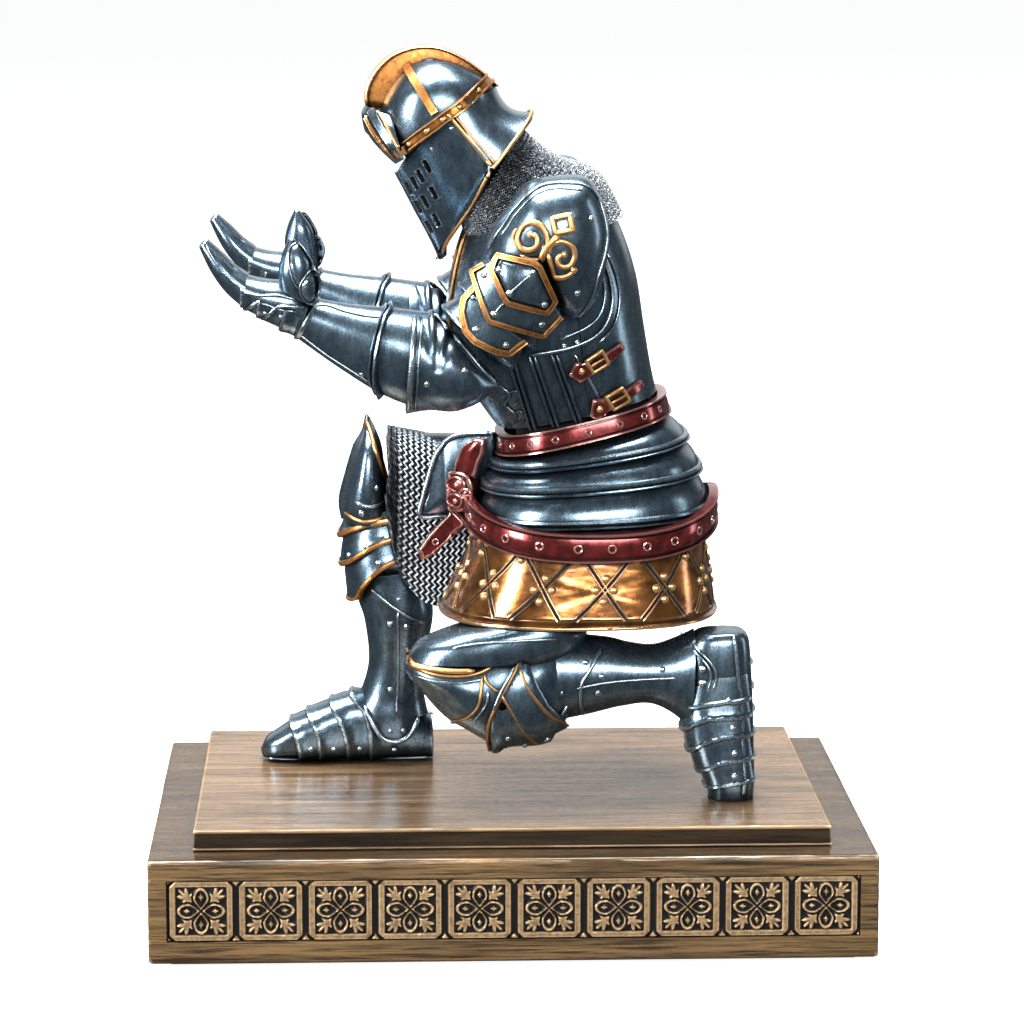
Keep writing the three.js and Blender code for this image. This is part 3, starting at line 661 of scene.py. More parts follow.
STUD_PROFILE = [(1.18, -0.35), (1.18, 0.10), (1.02, 0.20), (0.98, 0.35), (0.86, 0.62),
                (0.62, 0.86), (0.32, 0.98), (0.04, 1.0)]
EYELET_RING = [(1.0, -0.3), (1.05, 0.1), (0.95, 0.34), (0.80, 0.40), (0.66, 0.32), (0.58, 0.08),
               (0.56, -0.3)]
EYELET_KNOB = [(0.60, -0.35), (0.60, 0.0), (0.34, 0.03), (0.26, 0.16), (0.04, 0.2)]


def stud(piece, place, normal, radius, material, height=0.75, sides=14):
    """A rivet: a dome on a small collar."""
    piece.grid(turned(place, normal, radius, STUD_PROFILE, sides, height), material)


def eyelet(piece, place, normal, radius):
    """A leather ring with a dark knob inside it."""
    piece.grid(turned(place, normal, radius, EYELET_RING, 18), LEATHER, wrap_rows=True)
    piece.grid(turned(place, normal, radius, EYELET_KNOB, 18), SHADE_AND_PAINT_BLACK)


def rivets(piece, skin, spots, radius, material, side=LEFT, lift=0.0):
    for x, z in spots:
        place, normal = skin.drop(x, z, side)
        stud(piece, place + normal * lift, normal, radius, material)


def inside(points, loop):
    """Which points lie within a loop, by crossings counted along X."""
    x, z = points[:, 0], points[:, 1]
    hit = np.zeros(len(points), bool)
    for (x0, z0), (x1, z1) in zip(loop, np.roll(loop, -1, 0)):
        cross = (z0 > z) != (z1 > z)
        with np.errstate(divide="ignore", invalid="ignore"):
            at = (x1 - x0) * (z - z0) / (z1 - z0) + x0
        hit ^= cross & (x < at)
    return hit


def panel(piece, skin, outline, lift, material, spacing, edge, sink=0.5, guess=None, crown=0.0):
    """A plate of any outline laid on a skin from the left, with a rounded edge."""
    round_off = 0.28                             # how far the edge drops
    loop = curve(outline, spacing, True, closed=True)
    low, high = loop.min(0), loop.max(0)
    xs, zs = np.meshgrid(np.arange(low[0], high[0], spacing), np.arange(low[1], high[1], spacing))
    zs[:, ::2] += spacing / 2
    mesh = np.stack([xs.ravel(), zs.ravel()], 1)
    mesh = mesh[inside(mesh, loop)]

    def gap(points):
        """Distance from each point to the outline."""
        d = np.roll(loop, -1, 0) - loop
        t = ((points[:, None] - loop) * d).sum(-1) / np.maximum((d * d).sum(-1), 1e-9)
        foot = loop + d * np.clip(t, 0, 1)[..., None]
        return np.linalg.norm(points[:, None] - foot, axis=-1).min(1)

    mesh = mesh[gap(mesh) > edge + spacing * 0.45]
    centre = loop.mean(0)
    inset = unit(np.roll(loop, -1, 0) - np.roll(loop, 1, 0))[:, ::-1] * (1, -1)
    probe = loop + inset * 0.05
    inset = np.where(inside(probe, loop)[:, None], inset, -inset) * edge
    shoulder = loop + inset
    shoulder = np.where(inside(shoulder, loop)[:, None], shoulder, loop + 0.02 * (centre - loop))
    n = len(loop)
    edges = [(k, (k + 1) % n) for k in range(n)]
    flat = np.concatenate([loop, shoulder, mesh])
    found = delaunay_2d_cdt([Vector(p) for p in flat], edges, [list(range(n))], 1, 1e-4)
    verts = np.array([tuple(v) for v in found[0]])
    tris = np.array([list(f) for f in found[2] if len(f) == 3], int)
    far = gap(verts)
    reach = max(far.max(), 1e-6)
    tops, roots = [], []
    for (x, z), d in zip(verts, far):
        p, nrm = skin.drop(x, z, LEFT, guess)
        bulge = crown * (1 - (1 - min(d / reach, 1)) ** 2)
        rise = lift - round_off * max(0, 1 - d / edge) + bulge
        tops.append(p + nrm * rise)
        roots.append(p - nrm * sink)
    tops, roots = np.array(tops), np.array(roots)
    count = len(verts)
    border = {}
    for f in tris:
        for a, b in ((f[0], f[1]), (f[1], f[2]), (f[2], f[0])):
            if (b, a) in border:
                del border[(b, a)]
            else:
                border[(a, b)] = True
    walls = np.array([[a, a + count, b + count, b] for a, b in border], int)
    faces = [tris, tris[:, ::-1] + count, walls]
    piece.closed(np.concatenate([tops, roots]), faces, material)


def along(limb, edge_a, edge_b, profile, piece, material, a0=0.0, a1=TAU, count=96):
    """A plate round a limb between two edges, each a station number or a function of the
    angle. profile rows are (fraction, millimetres past it, height)."""
    full = abs(a1 - a0 - TAU) < 1e-6
    a = np.linspace(a0, a1, count, endpoint=not full)
    ta = edge_a(a) if callable(edge_a) else np.full(count, float(edge_a))
    tb = edge_b(a) if callable(edge_b) else np.full(count, float(edge_b))
    span = np.linalg.norm(limb.at(ta, a) - limb.at(tb, a), axis=1)
    rows = []
    for fraction, offset, height in profile:
        s = fraction + offset / np.maximum(span, 0.5)
        rows.append(limb.lift(ta + (tb - ta) * s, a, np.full(count, height)))
    piece.grid(np.array(rows), material, wrap_rows=True, wrap_columns=full)


BULGE = 0.4                      # how far a shell's ends stand out


def shell(limb, t0, t1, piece, material, rows, count, height=None, core=0.0):
    """A whole limb from t0 to t1, with bulging ends. height(t, a) displaces it, and t1 may be
    a function of the angle."""
    a = np.linspace(0, TAU, count, endpoint=False)[None, :]
    f = np.linspace(0, 1, rows)[:, None]
    end = t1(a) if callable(t1) else t1
    t = t0 + (end - t0) * f
    h = np.zeros((rows, count)) + core
    if height is not None:
        h = h + height(t + 0 * a, a + 0 * t)
    body = limb.lift(t + 0 * a, a + 0 * t, h)
    caps = []
    for ring, before in ((body[0], body[1]), (body[-1], body[-2])):
        middle = ring.mean(0)
        axis = unit(middle - before.mean(0))
        caps.append(np.array([middle + (ring - middle) * math.cos(k) + axis * BULGE * math.sin(k)
                              for k in (0.35, 0.7, 1.0, 1.25, 1.45)]))
    piece.grid(np.concatenate([caps[0][::-1], body, caps[1]]), material)


def limb_skin(limb, t0, t1, rows=40, count=120):
    """A limb's surface as a grid for Skin."""
    t = np.linspace(t0, t1, rows)[:, None]
    a = np.linspace(0, TAU, count, endpoint=False)[None, :]
    return limb.at(t + 0 * a, a + 0 * t), True


def waves(x, y, seed=0.0):
    """Smooth repeatable waves, about -1 to 1, from sines of unrelated pitch."""
    total = np.zeros(np.broadcast(x, y).shape)
    for k in range(1, 7):
        swing = 1.7 * np.sin(y * 0.91 * k + k)
        total = total + np.sin(x * (0.37 * k + 0.11) + seed * k + swing) / k
    return total / 2.2


# ------------------------------------------------------------------ plinth
LENGTH, DEPTH = 121.2, 88.7              # of the lower step
LONG_PANEL, SHORT_PANEL = 57.5, 40.25    # half lengths of the recesses for the frieze
PANEL_LOW, PANEL_HIGH = 3.5, 13.9
PANEL_DIP = 0.86
STEP_TOP = 17.2                          # where the lower step's sides end
LEDGE = 17.30                            # its top face
SLAB_LENGTH, SLAB_DEPTH = 53.3, 38.05    # half sizes of the upper step
SLAB_TOP = 20.80
SOLE = 20.95                             # the feet stand on this height
TILE = 11.5


def step_marks(half, panel, step=1.2):
    """Positions along one side, doubled where the panel starts and stops."""
    edge = [-half + r for r in (0.0, 0.12, 0.35, 0.9)]
    fine = np.linspace(-panel + 0.05, panel - 0.05, int(2 * panel / step))
    return np.r_[edge, -panel, fine, panel, [-v for v in edge[::-1]]]


def block():
    """The lower step: rounded edges, four shallow recesses and a cast wood grain."""
    piece = Piece("plinth_block_cast")
    xs, ys = step_marks(LENGTH / 2, LONG_PANEL), step_marks(DEPTH / 2, SHORT_PANEL)
    zs = np.r_[-0.2, -0.05, 0.2, 1.0, 2.0, 3.0, PANEL_LOW, PANEL_LOW + 0.05,
               np.linspace(4.5, 13, 9), PANEL_HIGH - 0.05, PANEL_HIGH, 14.4, 15.2, 16.2,
               16.85, 17.05, STEP_TOP]
    loop = [(x, -DEPTH / 2, 0, -1) for x in xs] + [(LENGTH / 2, y, 1, 0) for y in ys] \
        + [(x, DEPTH / 2, 0, 1) for x in xs[::-1]] + [(-LENGTH / 2, y, -1, 0) for y in ys[::-1]]
    x, y, out_x, out_y = np.array(loop).T
    on_long, on_short = out_y != 0, out_x != 0
    rows = []
    corner = np.minimum(LENGTH / 2 - np.abs(x), 9) * on_long \
        + np.minimum(DEPTH / 2 - np.abs(y), 9) * on_short
    in_panel = (on_long & (np.abs(x) < LONG_PANEL)) | (on_short & (np.abs(y) < SHORT_PANEL))
    run = x * on_long + y * on_short
    for z in zs:
        dip = np.where(in_panel & (PANEL_LOW < z < PANEL_HIGH), PANEL_DIP, 0.0)
        soft = 0.30 * np.clip(1 - (z + 0.22) / 0.42, 0, 1) ** 2 \
            + 0.30 * np.clip(1 - (STEP_TOP - z) / 0.36, 0, 1) ** 2
        soft = soft + 0.22 * np.clip(1 - corner / 0.5, 0, 1) ** 2
        wave = 0.05 * waves(run * 0.16, np.full(len(x), z * 2.1), 1.3)
        inward = dip + soft + 0.05 + wave * (dip == 0)
        rows.append(np.stack([x - out_x * inward - np.sign(x) * on_long * soft * (corner < 0.5),
                              y - out_y * inward - np.sign(y) * on_short * soft * (corner < 0.5),
                              np.full(len(x), z)], 1))
    top = rows[-1]
    for inset in (0.6, 2.2, 4.2, 6.2, 8.5):
        scale = np.array([1 - inset / (LENGTH / 2), 1 - inset / (DEPTH / 2), 1])
        ring = top * scale
        ring[:, 2] = LEDGE - 0.03 + 0.025 * waves(ring[:, 0] * 0.12, ring[:, 1] * 1.9, 4)
        rows.append(ring)
    foot = rows[0] * (0.993, 0.99, 1)
    foot[:, 2] = -0.33
    # The top rows take the darker ledge grain: painted shade on the ledge round the upper step.
    ledge = 6
    marks = [SIDE_GRAIN] * (len(rows) + 1 - ledge) + [SHADED_LEDGE_GRAIN] * ledge
    piece.grid(np.array([foot] + rows), marks)
    piece.done("plinth_block", slot="plinth_bronze", smooth=32)


def slab():
    """The upper step: rounded top edge, dark sides and a thin bright arris round the top."""
    a, b = SLAB_LENGTH, SLAB_DEPTH
    loop = curve([(-a, -b), (a, -b), (a, b), (-a, b)], 0.7, True, closed=True)
    out = np.stack([np.where(np.abs(loop[:, 0]) > a - 1e-6, np.sign(loop[:, 0]), 0),
                    np.where(np.abs(loop[:, 1]) > b - 1e-6, np.sign(loop[:, 1]), 0)], 1)

    def ring(inset, z):
        at = loop - out * inset
        flat = at[:, 0] * (out[:, 1] != 0) + at[:, 1] * (out[:, 0] != 0)
        chip = 0.035 * waves(flat * 0.9, flat * 0.23 + z, 3)
        return np.c_[at - out * chip[:, None], np.full(len(loop), z)]

    piece = Piece("plinth_slab_cast")
    rows = [ring(inset, z) for inset, z in (
        (0.5, 17.36), (0.12, 17.38), (0.02, 17.55), (0.06, 17.78), (0.26, 17.90), (0.24, 18.5),
        (0.28, 19.2), (0.24, 19.9), (0.20, 20.25), (0.10, 20.42), (0.12, 20.62), (0.26, 20.76),
        (0.5, 20.81), (0.9, 20.82))]
    # The top rows take the lighter top grain: painted light on the slab's top face.
    marks = [EDGE_GRAIN] * 3 + [DARK_GRAIN] * 5 + [EDGE_GRAIN] * 4 + [LIT_TOP_GRAIN] * 3
    last = b - 0.2
    for inset in np.linspace(2.0, last, 48):
        at = loop * (1 - inset / a, 1 - inset / b)
        fade = min(1.0, (last - inset) / 6)          # the ripples die out towards the middle
        level = SLAB_TOP + 0.03 * fade * waves(at[:, 0] * 0.10, at[:, 1] * 1.6, 2)
        rows.append(np.c_[at, level])
        marks.append(LIT_TOP_GRAIN)
    piece.grid(np.array(rows), marks[:len(rows)])
    piece.done("plinth_slab", slot="plinth_bronze", smooth=32)


def step_up(distance, soft=0.10):
    """0 outside a shape and 1 inside it, across a wall of width soft."""
    return np.clip(0.5 + distance / soft, 0, 1)


def ellipse(x, y, cx, cy, rx, ry, turn=0.0):
    """Signed distance, roughly, into an ellipse."""
    c, s = math.cos(turn), math.sin(turn)
    u, v = (x - cx) * c + (y - cy) * s, -(x - cx) * s + (y - cy) * c
    return (1 - np.hypot(u / rx, v / ry)) * min(rx, ry)


def tile_height(x, y):
    """Relief of one tile, x and y from its middle: a chamfered frame, four looped petals
    with a small star in each, and a barbed leaf in every corner."""
    outer = np.minimum(np.minimum(5.22 - np.abs(x), 5.05 - np.abs(y)),
                       (9.35 - np.abs(x) - np.abs(y)) / 1.414)
    inner = np.minimum(4.22 - np.abs(x), 4.05 - np.abs(y))
    height = step_up(outer) * step_up(-inner)
    for k in range(4):
        turn = k * math.pi / 2
        c, s = math.cos(turn), math.sin(turn)
        u, v = x * c + y * s, -x * s + y * c
        taper = np.clip(u / 1.9, 0.12, 1) ** 0.8
        loop = (1 - np.hypot((u - 2.05) / 1.95, v / (1.28 * taper))) * 1.28
        rim = step_up(loop, 0.09) * step_up(0.36 - loop, 0.09)
        height = np.maximum(height, rim * (u > 0))
        star = 0.92 - (np.abs((u - 2.35) / 1.0) ** 0.62 + np.abs(v / 0.62) ** 0.62) ** (1 / 0.62)
        height = np.maximum(height, step_up(star * 0.5, 0.14) * 0.95)
        p, q = (u + v) / ROOT_TWO, (v - u) / ROOT_TWO
        leaf = np.maximum.reduce([
            ellipse(p, q, 3.25, 0, 0.85, 0.62), ellipse(p, q, 3.9, 0.52, 0.95, 0.34, 0.62),
            ellipse(p, q, 3.9, -0.52, 0.95, 0.34, -0.62), ellipse(p, q, 2.75, 0.0, 0.62, 0.30),
            ellipse(p, q, 3.1, 0.62, 0.5, 0.24, 1.3), ellipse(p, q, 3.1, -0.62, 0.5, 0.24, -1.3),
            ellipse(p, q, 4.5, 0.0, 0.75, 0.26)])
        height = np.maximum(height, step_up(leaf, 0.12) * (p > 0))
    return height


def frieze(name, tiles, place):
    """A strip of relief tiles on a black ground; place turns (along, up, out) into a point."""
    piece = Piece(name + "_relief")
    half = tiles * TILE / 2 - 0.15
    us = np.linspace(-half, half, tiles * 76)
    vs = np.linspace(PANEL_LOW + 0.12, PANEL_HIGH - 0.12, 70)
    u, v = np.meshgrid(us, vs, indexing="ij")
    middle = (PANEL_LOW + PANEL_HIGH) / 2
    local = (u + tiles * TILE / 2) % TILE - TILE / 2
    height = tile_height(local, v - middle)
    beside = TILE / 2 - np.abs(local)
    wedge = 0.62 - beside - (4.95 - np.abs(v - middle)) * 0.8
    height = np.maximum(height, step_up(wedge, 0.12))
    wear = 0.03 * waves(u * 2.3, v * 2.9, 1)
    ground, border, rear = -0.70, -0.78, -0.84
    out = ground + (0.55 + wear) * height
    out[0] = out[-1] = border
    out[:, 0] = out[:, -1] = border
    face = place(u, v, out)
    back = place(u[:, [-1, 0]], v[:, [-1, 0]], np.full((len(us), 2), rear))
    points = np.concatenate([face, back], 1).transpose(1, 0, 2)
    piece.grid(points, BRONZE, wrap_rows=True, wrap_columns=False)
    made = piece.done(name, slot="frieze_relief", smooth=50)
    inlay = np.concatenate([height, np.zeros((len(us), 2))], 1).T.ravel()
    layer = made.data.attributes.new("raised", "FLOAT", "POINT")
    layer.data.foreach_set("value", inlay.astype(np.float32))


def plinth():
    block()
    slab()
    frieze("frieze_left", 10, lambda u, v, d: np.stack([u, -DEPTH / 2 - d, v], -1))
    frieze("frieze_right", 10, lambda u, v, d: np.stack([-u, DEPTH / 2 + d, v], -1))
    frieze("frieze_front", 7, lambda u, v, d: np.stack([-LENGTH / 2 - d, -u, v], -1))
    frieze("frieze_back", 7, lambda u, v, d: np.stack([LENGTH / 2 + d, u, v], -1))
    pad = Piece("felt_pad_fibre")
    half = np.array([56.95, 41.3])
    square = curve([(-1, -1), (1, -1), (1, 1), (-1, 1)], 0.03, True, closed=True)
    rows = []
    for inset, z in ((0.4, -1.18), (0.05, -1.08), (0.0, -0.8), (0.1, -0.42)):
        flat = square * (half - inset)
        fuzz = 0.04 * waves(flat[:, 0] * 3, flat[:, 1] * 3 + z * 9)
        rows.append(np.c_[flat + fuzz[:, None] * 0.5, np.full(len(flat), z)])
    pad.grid(np.array(rows), FELT)
    pad.done("felt_pad", slot="felt")


plinth()

# ------------------------------------------------------------------ trunk
TRUNK = Limb([[-5, 121, 9, 129, 0, 9], [-7.5, 115.5, 15, 125.5, 0, 14.5],
              [-9.2, 109, 19.3, 118.3, 0, 18], [-10, 102, 22.2, 110, 0, 19.2],
              [-8.6, 95, 23.7, 101, 0, 18.4], [-5.2, 88.8, 24.9, 94, 0, 17],
              [-1.4, 83.4, 25.9, 89.5, 0, 15.6]], 2.4)
SEAM = ((8.0, 134.0), (14.5, 80.0))      # top and foot of the side seam, x and z


def seam_angle(t):
    """Angle from the front at which the trunk meets the side seam."""
    angles = np.linspace(0.1, math.pi - 0.1, 300)
    points = TRUNK.at(t, angles)
    (top_x, top_z), (foot_x, foot_z) = SEAM
    line = top_x + (foot_x - top_x) * (top_z - points[:, 2]) / (top_z - foot_z)
    return np.interp(0, points[:, 0] - line, angles)


def cuirass():
    """Breastplate and backplate, with their ribs, borders and rivets."""
    rows = np.linspace(0.0, 6.0, 74)
    meet = np.array([seam_angle(t) for t in rows])
    front = np.linspace(-1, 1, 120)
    a = meet[:, None] * front[None, :]
    t = rows[:, None] + 0 * a
    ridge = 0.75 * np.exp(-(a / 0.10) ** 2) * np.clip(t - 1, 0, 1)
    rim = 0.22 * np.clip(1 - (meet[:, None] - np.abs(a)) / 0.05, 0, 1)
    grid = TRUNK.lift(t, a, -0.1 + ridge * 0.5 + rim)
    breast = Piece("breastplate_cast")
    breast.sheet(grid, STEEL, 0.9)
    skin = Skin((TRUNK.lift(t, a, np.zeros_like(a)), False))
    for side in (LEFT, RIGHT):
        for top, foot in (((0.5, 96.6), (4.4, 84.2)), ((3.9, 97.3), (8.1, 85.0)),
                          ((7.6, 97.6), (11.9, 85.8))):
            for shift in (-0.42, 0.42):
                line = [(top[0] + shift, top[1]), (foot[0] + shift, foot[1])]
                cord(breast, skin, line, 0.34, STEEL, side, sharp=True, step=0.5, lift=0.16)
        for line in ([(-1.4, 92), (0.3, 90.4), (-0.4, 88.6), (1.4, 86.6), (0.8, 84.8)],
                     [(-1.0, 89.6), (0.9, 91.2), (2.0, 89.8), (0.9, 88.4)],
                     [(0.1, 86.2), (2.0, 87.6), (2.7, 86.0), (1.6, 85.0)]):
            cord(breast, skin, line, 0.2, STEEL, side, step=0.4)
        down = np.linspace(0.5, 3.4, 50)
        aside = np.full(50, side * 0.30)
        sweep(breast, TRUNK.lift(down, aside, np.zeros(50)), TRUNK.normal(down, aside),
              cord_section(0.38), WORN)
        rivets(breast, skin, [(9.3, 98.9), (11.6, 99.5)], 0.5, STEEL, side)
    breast.done("breastplate")

    back_sweep = np.linspace(0, 1, 110)
    a = meet[:, None] + (TAU - 2 * meet[:, None]) * back_sweep[None, :]
    t = rows[:, None] + 0 * a
    edge = np.minimum(a - meet[:, None], TAU - meet[:, None] - a)
    rim = 0.3 * np.clip(1 - edge / 0.05, 0, 1)
    grid = TRUNK.lift(t, a, 0.12 + rim)
    back = Piece("backplate_cast")
    back.sheet(grid, STEEL, 0.9)
    skin = Skin((TRUNK.lift(t, a, np.full_like(a, 0.12)), False),
                (TRUNK.lift(rows[:, None] + 0 * front, meet[:, None] * front[None, :],
                            np.zeros((74, 120))), False))
    for side in (LEFT, RIGHT):
        for line, radius in (
                ([(15.9, 113.8), (17.1, 109.9), (17.5, 106.5), (16.7, 103.2), (14.6, 100.7),
                  (10.2, 98.8), (3.5, 97.6)], 0.42),
                ([(16.6, 114.6), (18.3, 110.1), (18.8, 106.2), (17.8, 102.2), (15.2, 99.5)],
                 0.30),
                ([(15.0, 113.0), (16.2, 108.3), (15.4, 104.4), (12.8, 102.1), (8.5, 100.3)],
                 0.30)):
            cord(back, skin, line, radius, STEEL, side, step=0.4)
        cord(back, skin, [(11.1, 97.6), (13.3, 93.6), (15.5, 89.4)], 0.3, STEEL, side)
    back.done("backplate")
    return skin


def side_straps(skin):
    """Two buckled straps over each side seam: a tab, a buckle and a tail."""
    for place, tab, buckle, tail in (
            ("upper", [(10, 94.3), (11.1, 96.4), (12.9, 96.3), (14.6, 94.6), (12.0, 92.9)],
             [(12.8, 96.6), (15.4, 98.2), (16.5, 96.0), (14.0, 94.6)],
             [(15.6, 97.5), (18.9, 99.3), (19.4, 98.1), (16.4, 95.6)]),
            ("lower", [(13.7, 87), (14.1, 89.9), (15.9, 90.0), (17.6, 88.2), (15, 86.4)],
             [(16.2, 90.2), (18.9, 91.5), (20.2, 89.3), (17.6, 88.0)],
             [(19.0, 90.7), (22.2, 92.4), (22.9, 91.2), (19.9, 89.1)])):
        piece = Piece(f"side_strap_left_{place}_worked")
        panel(piece, skin, tab, 1.0, LEATHER, edge=0.25, spacing=0.4)
        panel(piece, skin, tail, 0.9, LEATHER, edge=0.25, spacing=0.4)
        box = np.array(buckle, float)
        middle = box.mean(0)
        panel(piece, skin, middle + (box - middle) * 0.9, 0.55, LEATHER, spacing=0.45,
              edge=0.22)
        cord(piece, skin, box, 0.36, GOLD, closed=True, sharp=True, lift=0.65)
        tongue = [(box[0] + box[3]) / 2, (box[1] + box[2]) / 2]
        cord(piece, skin, tongue, 0.26, GOLD, sharp=True, lift=0.8)
        first = np.array(tab, float).mean(0)
        rivets(piece, skin, [first], 0.5, GOLD, lift=0.95)
        far = piece.mirrored(f"side_strap_right_{place}_worked")
        piece.done(f"side_strap_left_{place}", slot="red_leather")
        far.done(f"side_strap_right_{place}", slot="red_leather")


def oval(cx, a, b, base, slope, grow=0.0):
    """A station round the waist: middle, half length, half width, and the height at x = 13."""
    a, b = a + grow, b + grow
    return [cx - a, base + slope * (cx - a - 13), cx + a, base + slope * (cx + a - 13), 0, b]


def belt_ring(piece, limb, t0, t1):
    """A leather belt round a limb: raised edges, each with a groove inside it."""
    depth = -1.3
    edge = [(0.0, 0.0), (0.12, 0.30), (0.46, 0.30), (0.60, -0.22), (0.80, -0.20), (0.95, 0.06)]
    profile = [(0, 0, depth)] + [(0, d, h) for d, h in edge]
    profile += [(0.5, 0, 0.10)]
    profile += [(1, -d, h) for d, h in edge[::-1]] + [(1, 0, depth)]
    along(limb, t0, t1, profile, piece, LEATHER, count=240)


def waist():
    """Waist belt, three fauld plates over a black filler of painted shade, and the hip belt."""
    slope, grow = 0.243, 1.1
    belt = Limb([oval(13, 13.4, 15.0, 85.9, slope, grow),
                 oval(13.4, 14.0, 15.6, 82.1, slope, grow)], 2.5)
    piece = Piece("waist_belt_worked")
    belt_ring(piece, belt, 0.03, 0.97)
    skin = Skin(limb_skin(belt, 0, 1, 12, 240))
    for side in (LEFT, RIGHT):
        for x in (-1.0, 0.9, 3.8, 8.0, 13.6, 18.9, 23.1, 26.0):
            z = 84.0 + slope * (x - 13)
            place, normal = skin.drop(x, z, side)
            eyelet(piece, place, normal, 0.62)
    piece.done("waist_belt", slot="red_leather")

    plates = (("fauld_upper", oval(13.6, 13.9, 15.4, 81.8, 0.235),
               oval(14.4, 17.2, 18.6, 78.4, 0.14)),
              ("fauld_middle", oval(14.4, 16.6, 18.0, 78.1, 0.14),
               oval(14.8, 19.0, 20.6, 73.9, 0.08)),
              ("fauld_lower", oval(14.8, 18.4, 20.0, 73.6, 0.08),
               oval(15.0, 20.0, 22.0, 68.2, 0.04)))
    # Painted shade: a black shell behind the faulds, seen through the gaps between them.
    shade_filler = Limb([oval(12.8, 10.6, 12.4, 86, 0.24), oval(13.2, 12.0, 13.6, 82, 0.24),
                   oval(14.4, 16.0, 17.4, 76, 0.1), oval(14.6, 18.6, 20.2, 66, 0.0)], 2.5)
    for name, top, foot in plates:
        middle = [(p + q) / 2 + d for p, q, d in
                  zip(top, foot, (-0.5, 0.35, 0.5, 0.35, 0, 0.5))]
        limb = Limb([top, middle, foot], 2.5)
        piece = Piece(name + "_rolled")
        rows = [(0, 0, -1.2), (0, 0, -0.1)]
        rows += [(f, 0, -0.1 + 0.1 * f) for f in np.linspace(0.1, 0.72, 7)]
        rows += [(1, -1.75, 0.05), (1, -1.55, 0.42), (1, -1.2, 0.55), (1, -0.9, 0.38),
                 (1, -0.78, 0.12), (1, -0.62, 0.40), (1, -0.3, 0.56), (1, 0.05, 0.42),
                 (1, 0.2, 0.0), (1, 0.12, -1.2)]
        along(limb, 0.0, 2.0, rows, piece, STEEL, count=240)
        if name == "fauld_upper":
            shell(shade_filler, 0, 3, piece, SHADE_AND_PAINT_BLACK, rows=20, count=60)
        piece.done(name)

    outline = Limb([oval(14.6, 20.9, 23.0, 70, 0), oval(14.6, 20.9, 23.0, 65, 0)], 2.5)
    angles = np.linspace(0, TAU, 260, endpoint=False)
    base = outline.at(0, angles)
    out = outline.normal(0.5, angles)
    out[:, 2] = 0
    out = unit(out)
    level, sag, half_width = 70.0, 4.6, 23       # the hip belt hangs lower at the sides
    base[:, 2] = level - sag * (np.abs(base[:, 1]) / half_width) ** 1.5
    section = [(-0.2, 2.5), (0.9, 2.5), (1.48, 2.38), (1.48, 2.04), (0.85, 1.90), (0.85, 1.70),
               (1.10, 1.55), (1.28, 0.8), (1.34, 0)]
    section += [(d, -up) for d, up in section[-2::-1]]
    rows = np.array([base + out * d + np.array([0, 0, up]) for d, up in section])
    piece = Piece("hip_belt_worked")
    piece.grid(rows, LEATHER, wrap_rows=True)
    lift = base + out * 1.18
    for side in (LEFT, RIGHT):
        half = np.where(side * base[:, 1] > 0)[0]
        for x in (-5.2, -3.0, 0.0, 5.4, 11.6, 17.3, 22.7, 27.4, 31.2, 33.9):
            k = half[np.argmin(np.abs(base[half, 0] - x))]
            eyelet(piece, lift[k], out[k], 0.78)
    piece.done("hip_belt", slot="red_leather")


